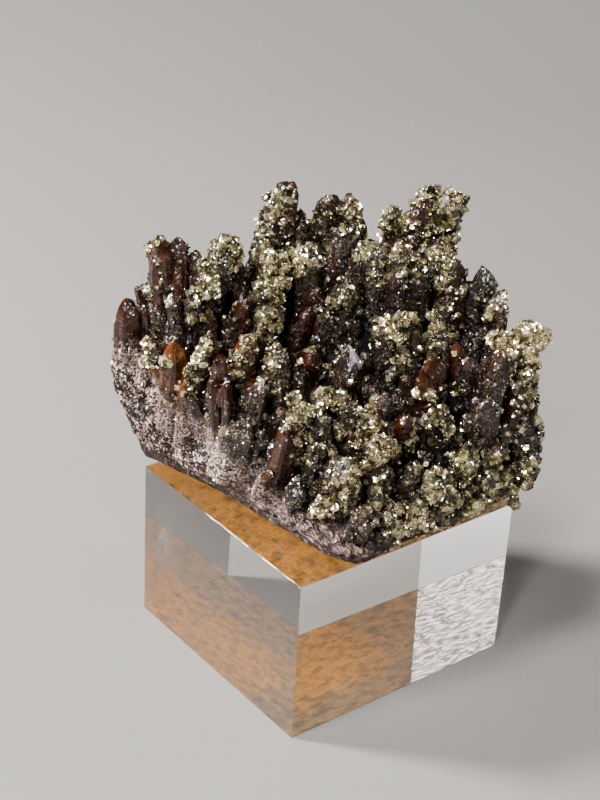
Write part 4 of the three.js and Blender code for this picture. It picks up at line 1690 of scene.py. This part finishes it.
        # Painted light on the corner knob, and darker grains at the other spots
        for middle, reach, change in self.painted_light_and_dull_spots:
            gap = np.linalg.norm(places - np.array(middle), axis=1)
            shades += np.clip(1 - gap / reach, 0, 1) * change
        shades = np.clip(shades, 0.02, 1.0)
        frames = random_frames(count, self.rng)
        left = places[:, 0] < 0
        for pile, side in ((self.left_grains, left), (self.right_grains, ~left)):
            for k, shape in enumerate(self.shapes):
                mine = side & (pick == k)
                pile.stamp(shape, places[mine], frames[mine], halves[mine], shades[mine])

    def dress(self) -> None:
        """Makes the pieces with their pyrite."""
        finish = PyriteFinish().make()
        for pile in (self.cores, self.left_grains, self.right_grains, self.specks):
            pile.box = self.box
            keep_piece(pile.write(finish), CLUSTER_NODE)


@dataclass
class ClearBlock:
    """The polished block that the specimen stands on."""

    width: float = 30.0
    depth: float = 29.0
    height: float = BLOCK_HEIGHT
    edge: float = 0.035
    segments: int = 3

    def build(self) -> bpy.types.Object:
        """Makes the block with rounded edges."""
        solid = bmesh.new()
        bmesh.ops.create_cube(solid, size=1)
        size = (self.width * MM, self.depth * MM, self.height * MM)
        bmesh.ops.scale(solid, vec=size, verts=solid.verts)
        bmesh.ops.translate(solid, vec=(0, 0, self.height * MM / 2), verts=solid.verts)
        bmesh.ops.bevel(
            solid, geom=solid.edges[:], offset=self.edge * MM, segments=self.segments,
            profile=0.5, affect="EDGES", clamp_overlap=True,
        )
        mesh = bpy.data.meshes.new("clear_block")
        solid.to_mesh(mesh)
        solid.free()
        mesh.materials.append(ClearFinish().make())
        piece = bpy.data.objects.new("clear_block", mesh)
        bpy.context.scene.collection.objects.link(piece)
        return keep_piece(piece, BLOCK_NODE)


@dataclass(frozen=True)
class Viewpoint:
    """The camera of the photograph: place in millimetres, directions and lens."""

    place: Point = (-106.86, -125.28, 118.54)
    forward: Point = (0.5566, 0.6829, -0.4731)
    right: Point = (0.791, -0.609, 0.052)
    middle: tuple[float, float] = (300.0, 400.0)
    focal: float = 1700.0
    sensor: float = 36.0
    picture_height: float = 800.0
    clip: tuple[float, float] = (0.01, 20.0)

    def axes(self) -> tuple[Array, Array, Array]:
        """Returns the unit directions right, down and forward, square to each other."""
        forward = unit(np.array(self.forward))
        down = unit(np.cross(forward, np.array(self.right)))
        return np.cross(down, forward), down, forward

    def ray(self, u: float, v: float) -> tuple[Array, Array]:
        """Returns where the ray of a pixel starts, and its unit direction."""
        right, down, forward = self.axes()
        aim = right * (u - self.middle[0]) + down * (v - self.middle[1]) + forward * self.focal
        return np.array(self.place), unit(aim)

    def set_up(self) -> None:
        """Makes the camera."""
        right, down, forward = self.axes()
        camera = bpy.data.cameras.new("camera")
        camera.sensor_width = self.sensor
        camera.lens = self.focal * self.sensor / self.picture_height
        camera.clip_start, camera.clip_end = self.clip
        seat = bpy.data.objects.new("camera", camera)
        turn = Matrix(np.column_stack([right, -down, -forward]).tolist()).to_4x4()
        seat.matrix_world = Matrix.Translation(Vector(self.place) * MM) @ turn
        bpy.context.scene.collection.objects.link(seat)
        bpy.context.scene.camera = seat


@dataclass(frozen=True)
class Lamp:
    """One soft area light that looks at the specimen."""

    name: str
    towards: Point
    distance: float
    size: float
    power: float
    tint: Point = (1.0, 1.0, 1.0)

    def hang(self, target: Vector) -> None:
        """Makes the light on its side of the target."""
        light = bpy.data.lights.new(self.name, "AREA")
        light.shape = "DISK"
        light.size = self.size
        light.energy = self.power
        light.color = self.tint
        holder = bpy.data.objects.new(self.name, light)
        direction = Vector(self.towards).normalized()
        holder.location = target + direction * self.distance
        holder.rotation_euler = direction.to_track_quat("Z", "Y").to_euler()
        bpy.context.scene.collection.objects.link(holder)


@dataclass
class Studio:
    """A pale floor, a grey surround and soft lamps."""

    floor_half: float = 3.0
    floor_drop: float = 0.00002
    surround: float = 0.2
    haze: Colour = (1.0, 0.98, 0.96, 1.0)
    target: Point = (0.0, 0.0, 0.03)
    lamps: tuple[Lamp, ...] = (
        Lamp("key", (-0.585, 0.612, 0.532), 0.415, 0.085, 11.2, (1.0, 0.98, 0.94)),
        Lamp("top", (-0.5, 0.0, 1.0), 0.5, 0.12, 5.8, (1.0, 0.99, 0.97)),
        Lamp("front", (-0.9, -0.6, 0.75), 0.6, 0.1, 4.8, (0.97, 0.98, 1.0)),
        Lamp("right", (0.9, -0.35, 0.5), 0.5, 0.12, 1.2, (1.0, 1.0, 1.0)),
    )

    def set_up(self) -> None:
        """Makes the floor, the surround and the lamps."""
        mesh = bpy.data.meshes.new("floor")
        half, height = self.floor_half, -self.floor_drop
        turns = ((-1, -1), (1, -1), (1, 1), (-1, 1))
        corners = [(x * half, y * half, height) for x, y in turns]
        mesh.from_pydata(corners, [], [(0, 1, 2, 3)])
        mesh.materials.append(FloorFinish().make())
        floor = bpy.data.objects.new("floor", mesh)
        bpy.context.scene.collection.objects.link(floor)
        world = bpy.data.worlds.new("surround")
        world.use_nodes = True
        background = world.node_tree.nodes["Background"]
        background.inputs["Color"].default_value = self.haze
        background.inputs["Strength"].default_value = self.surround
        bpy.context.scene.world = world
        for lamp in self.lamps:
            lamp.hang(Vector(self.target))


def specimen_box() -> tuple[Array, Array]:
    """Returns the cluster's lowest and highest corners in millimetres."""
    low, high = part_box(CLUSTER_NODE)
    return np.array(low) / MM, np.array(high) / MM


def main() -> None:
    """Builds the specimen, its block and the studio."""
    logging.basicConfig(level=logging.INFO, format="%(message)s")
    eye = Viewpoint()
    eye.set_up()
    Studio().set_up()
    ClearBlock().build()
    box = specimen_box()
    hill = MatrixHill()
    hill.build()
    hill.dress()
    thicket = Thicket(hill, hill.pile.ground(), box)
    thicket.build()
    thicket.dress()
    druse = Druse()
    druse.build((*thicket.piles, hill.pile), box)
    druse.dress()
    coat = PyriteCoat(box)
    carriers = [pile.ground() for pile in (*thicket.piles, hill.pile)]
    for crystal in thicket.listed:
        coat.cover_crystal(crystal)
    coat.set_knobs()
    coat.set_apron()
    coat.set_clumps(eye, carriers)
    coat.keep_bare(eye, carriers)
    coat.grow_grains((*thicket.piles, coat.cores, hill.pile), carriers)
    dusted = [pile for pile in thicket.piles if pile.name != "red_crystals"]
    coat.grow_specks((*dusted, coat.cores), carriers)
    coat.dress()
    save_size()


def save_size() -> None:
    """Updates the view layer."""
    bpy.context.view_layer.update()


if __name__ == "__main__":
    main()
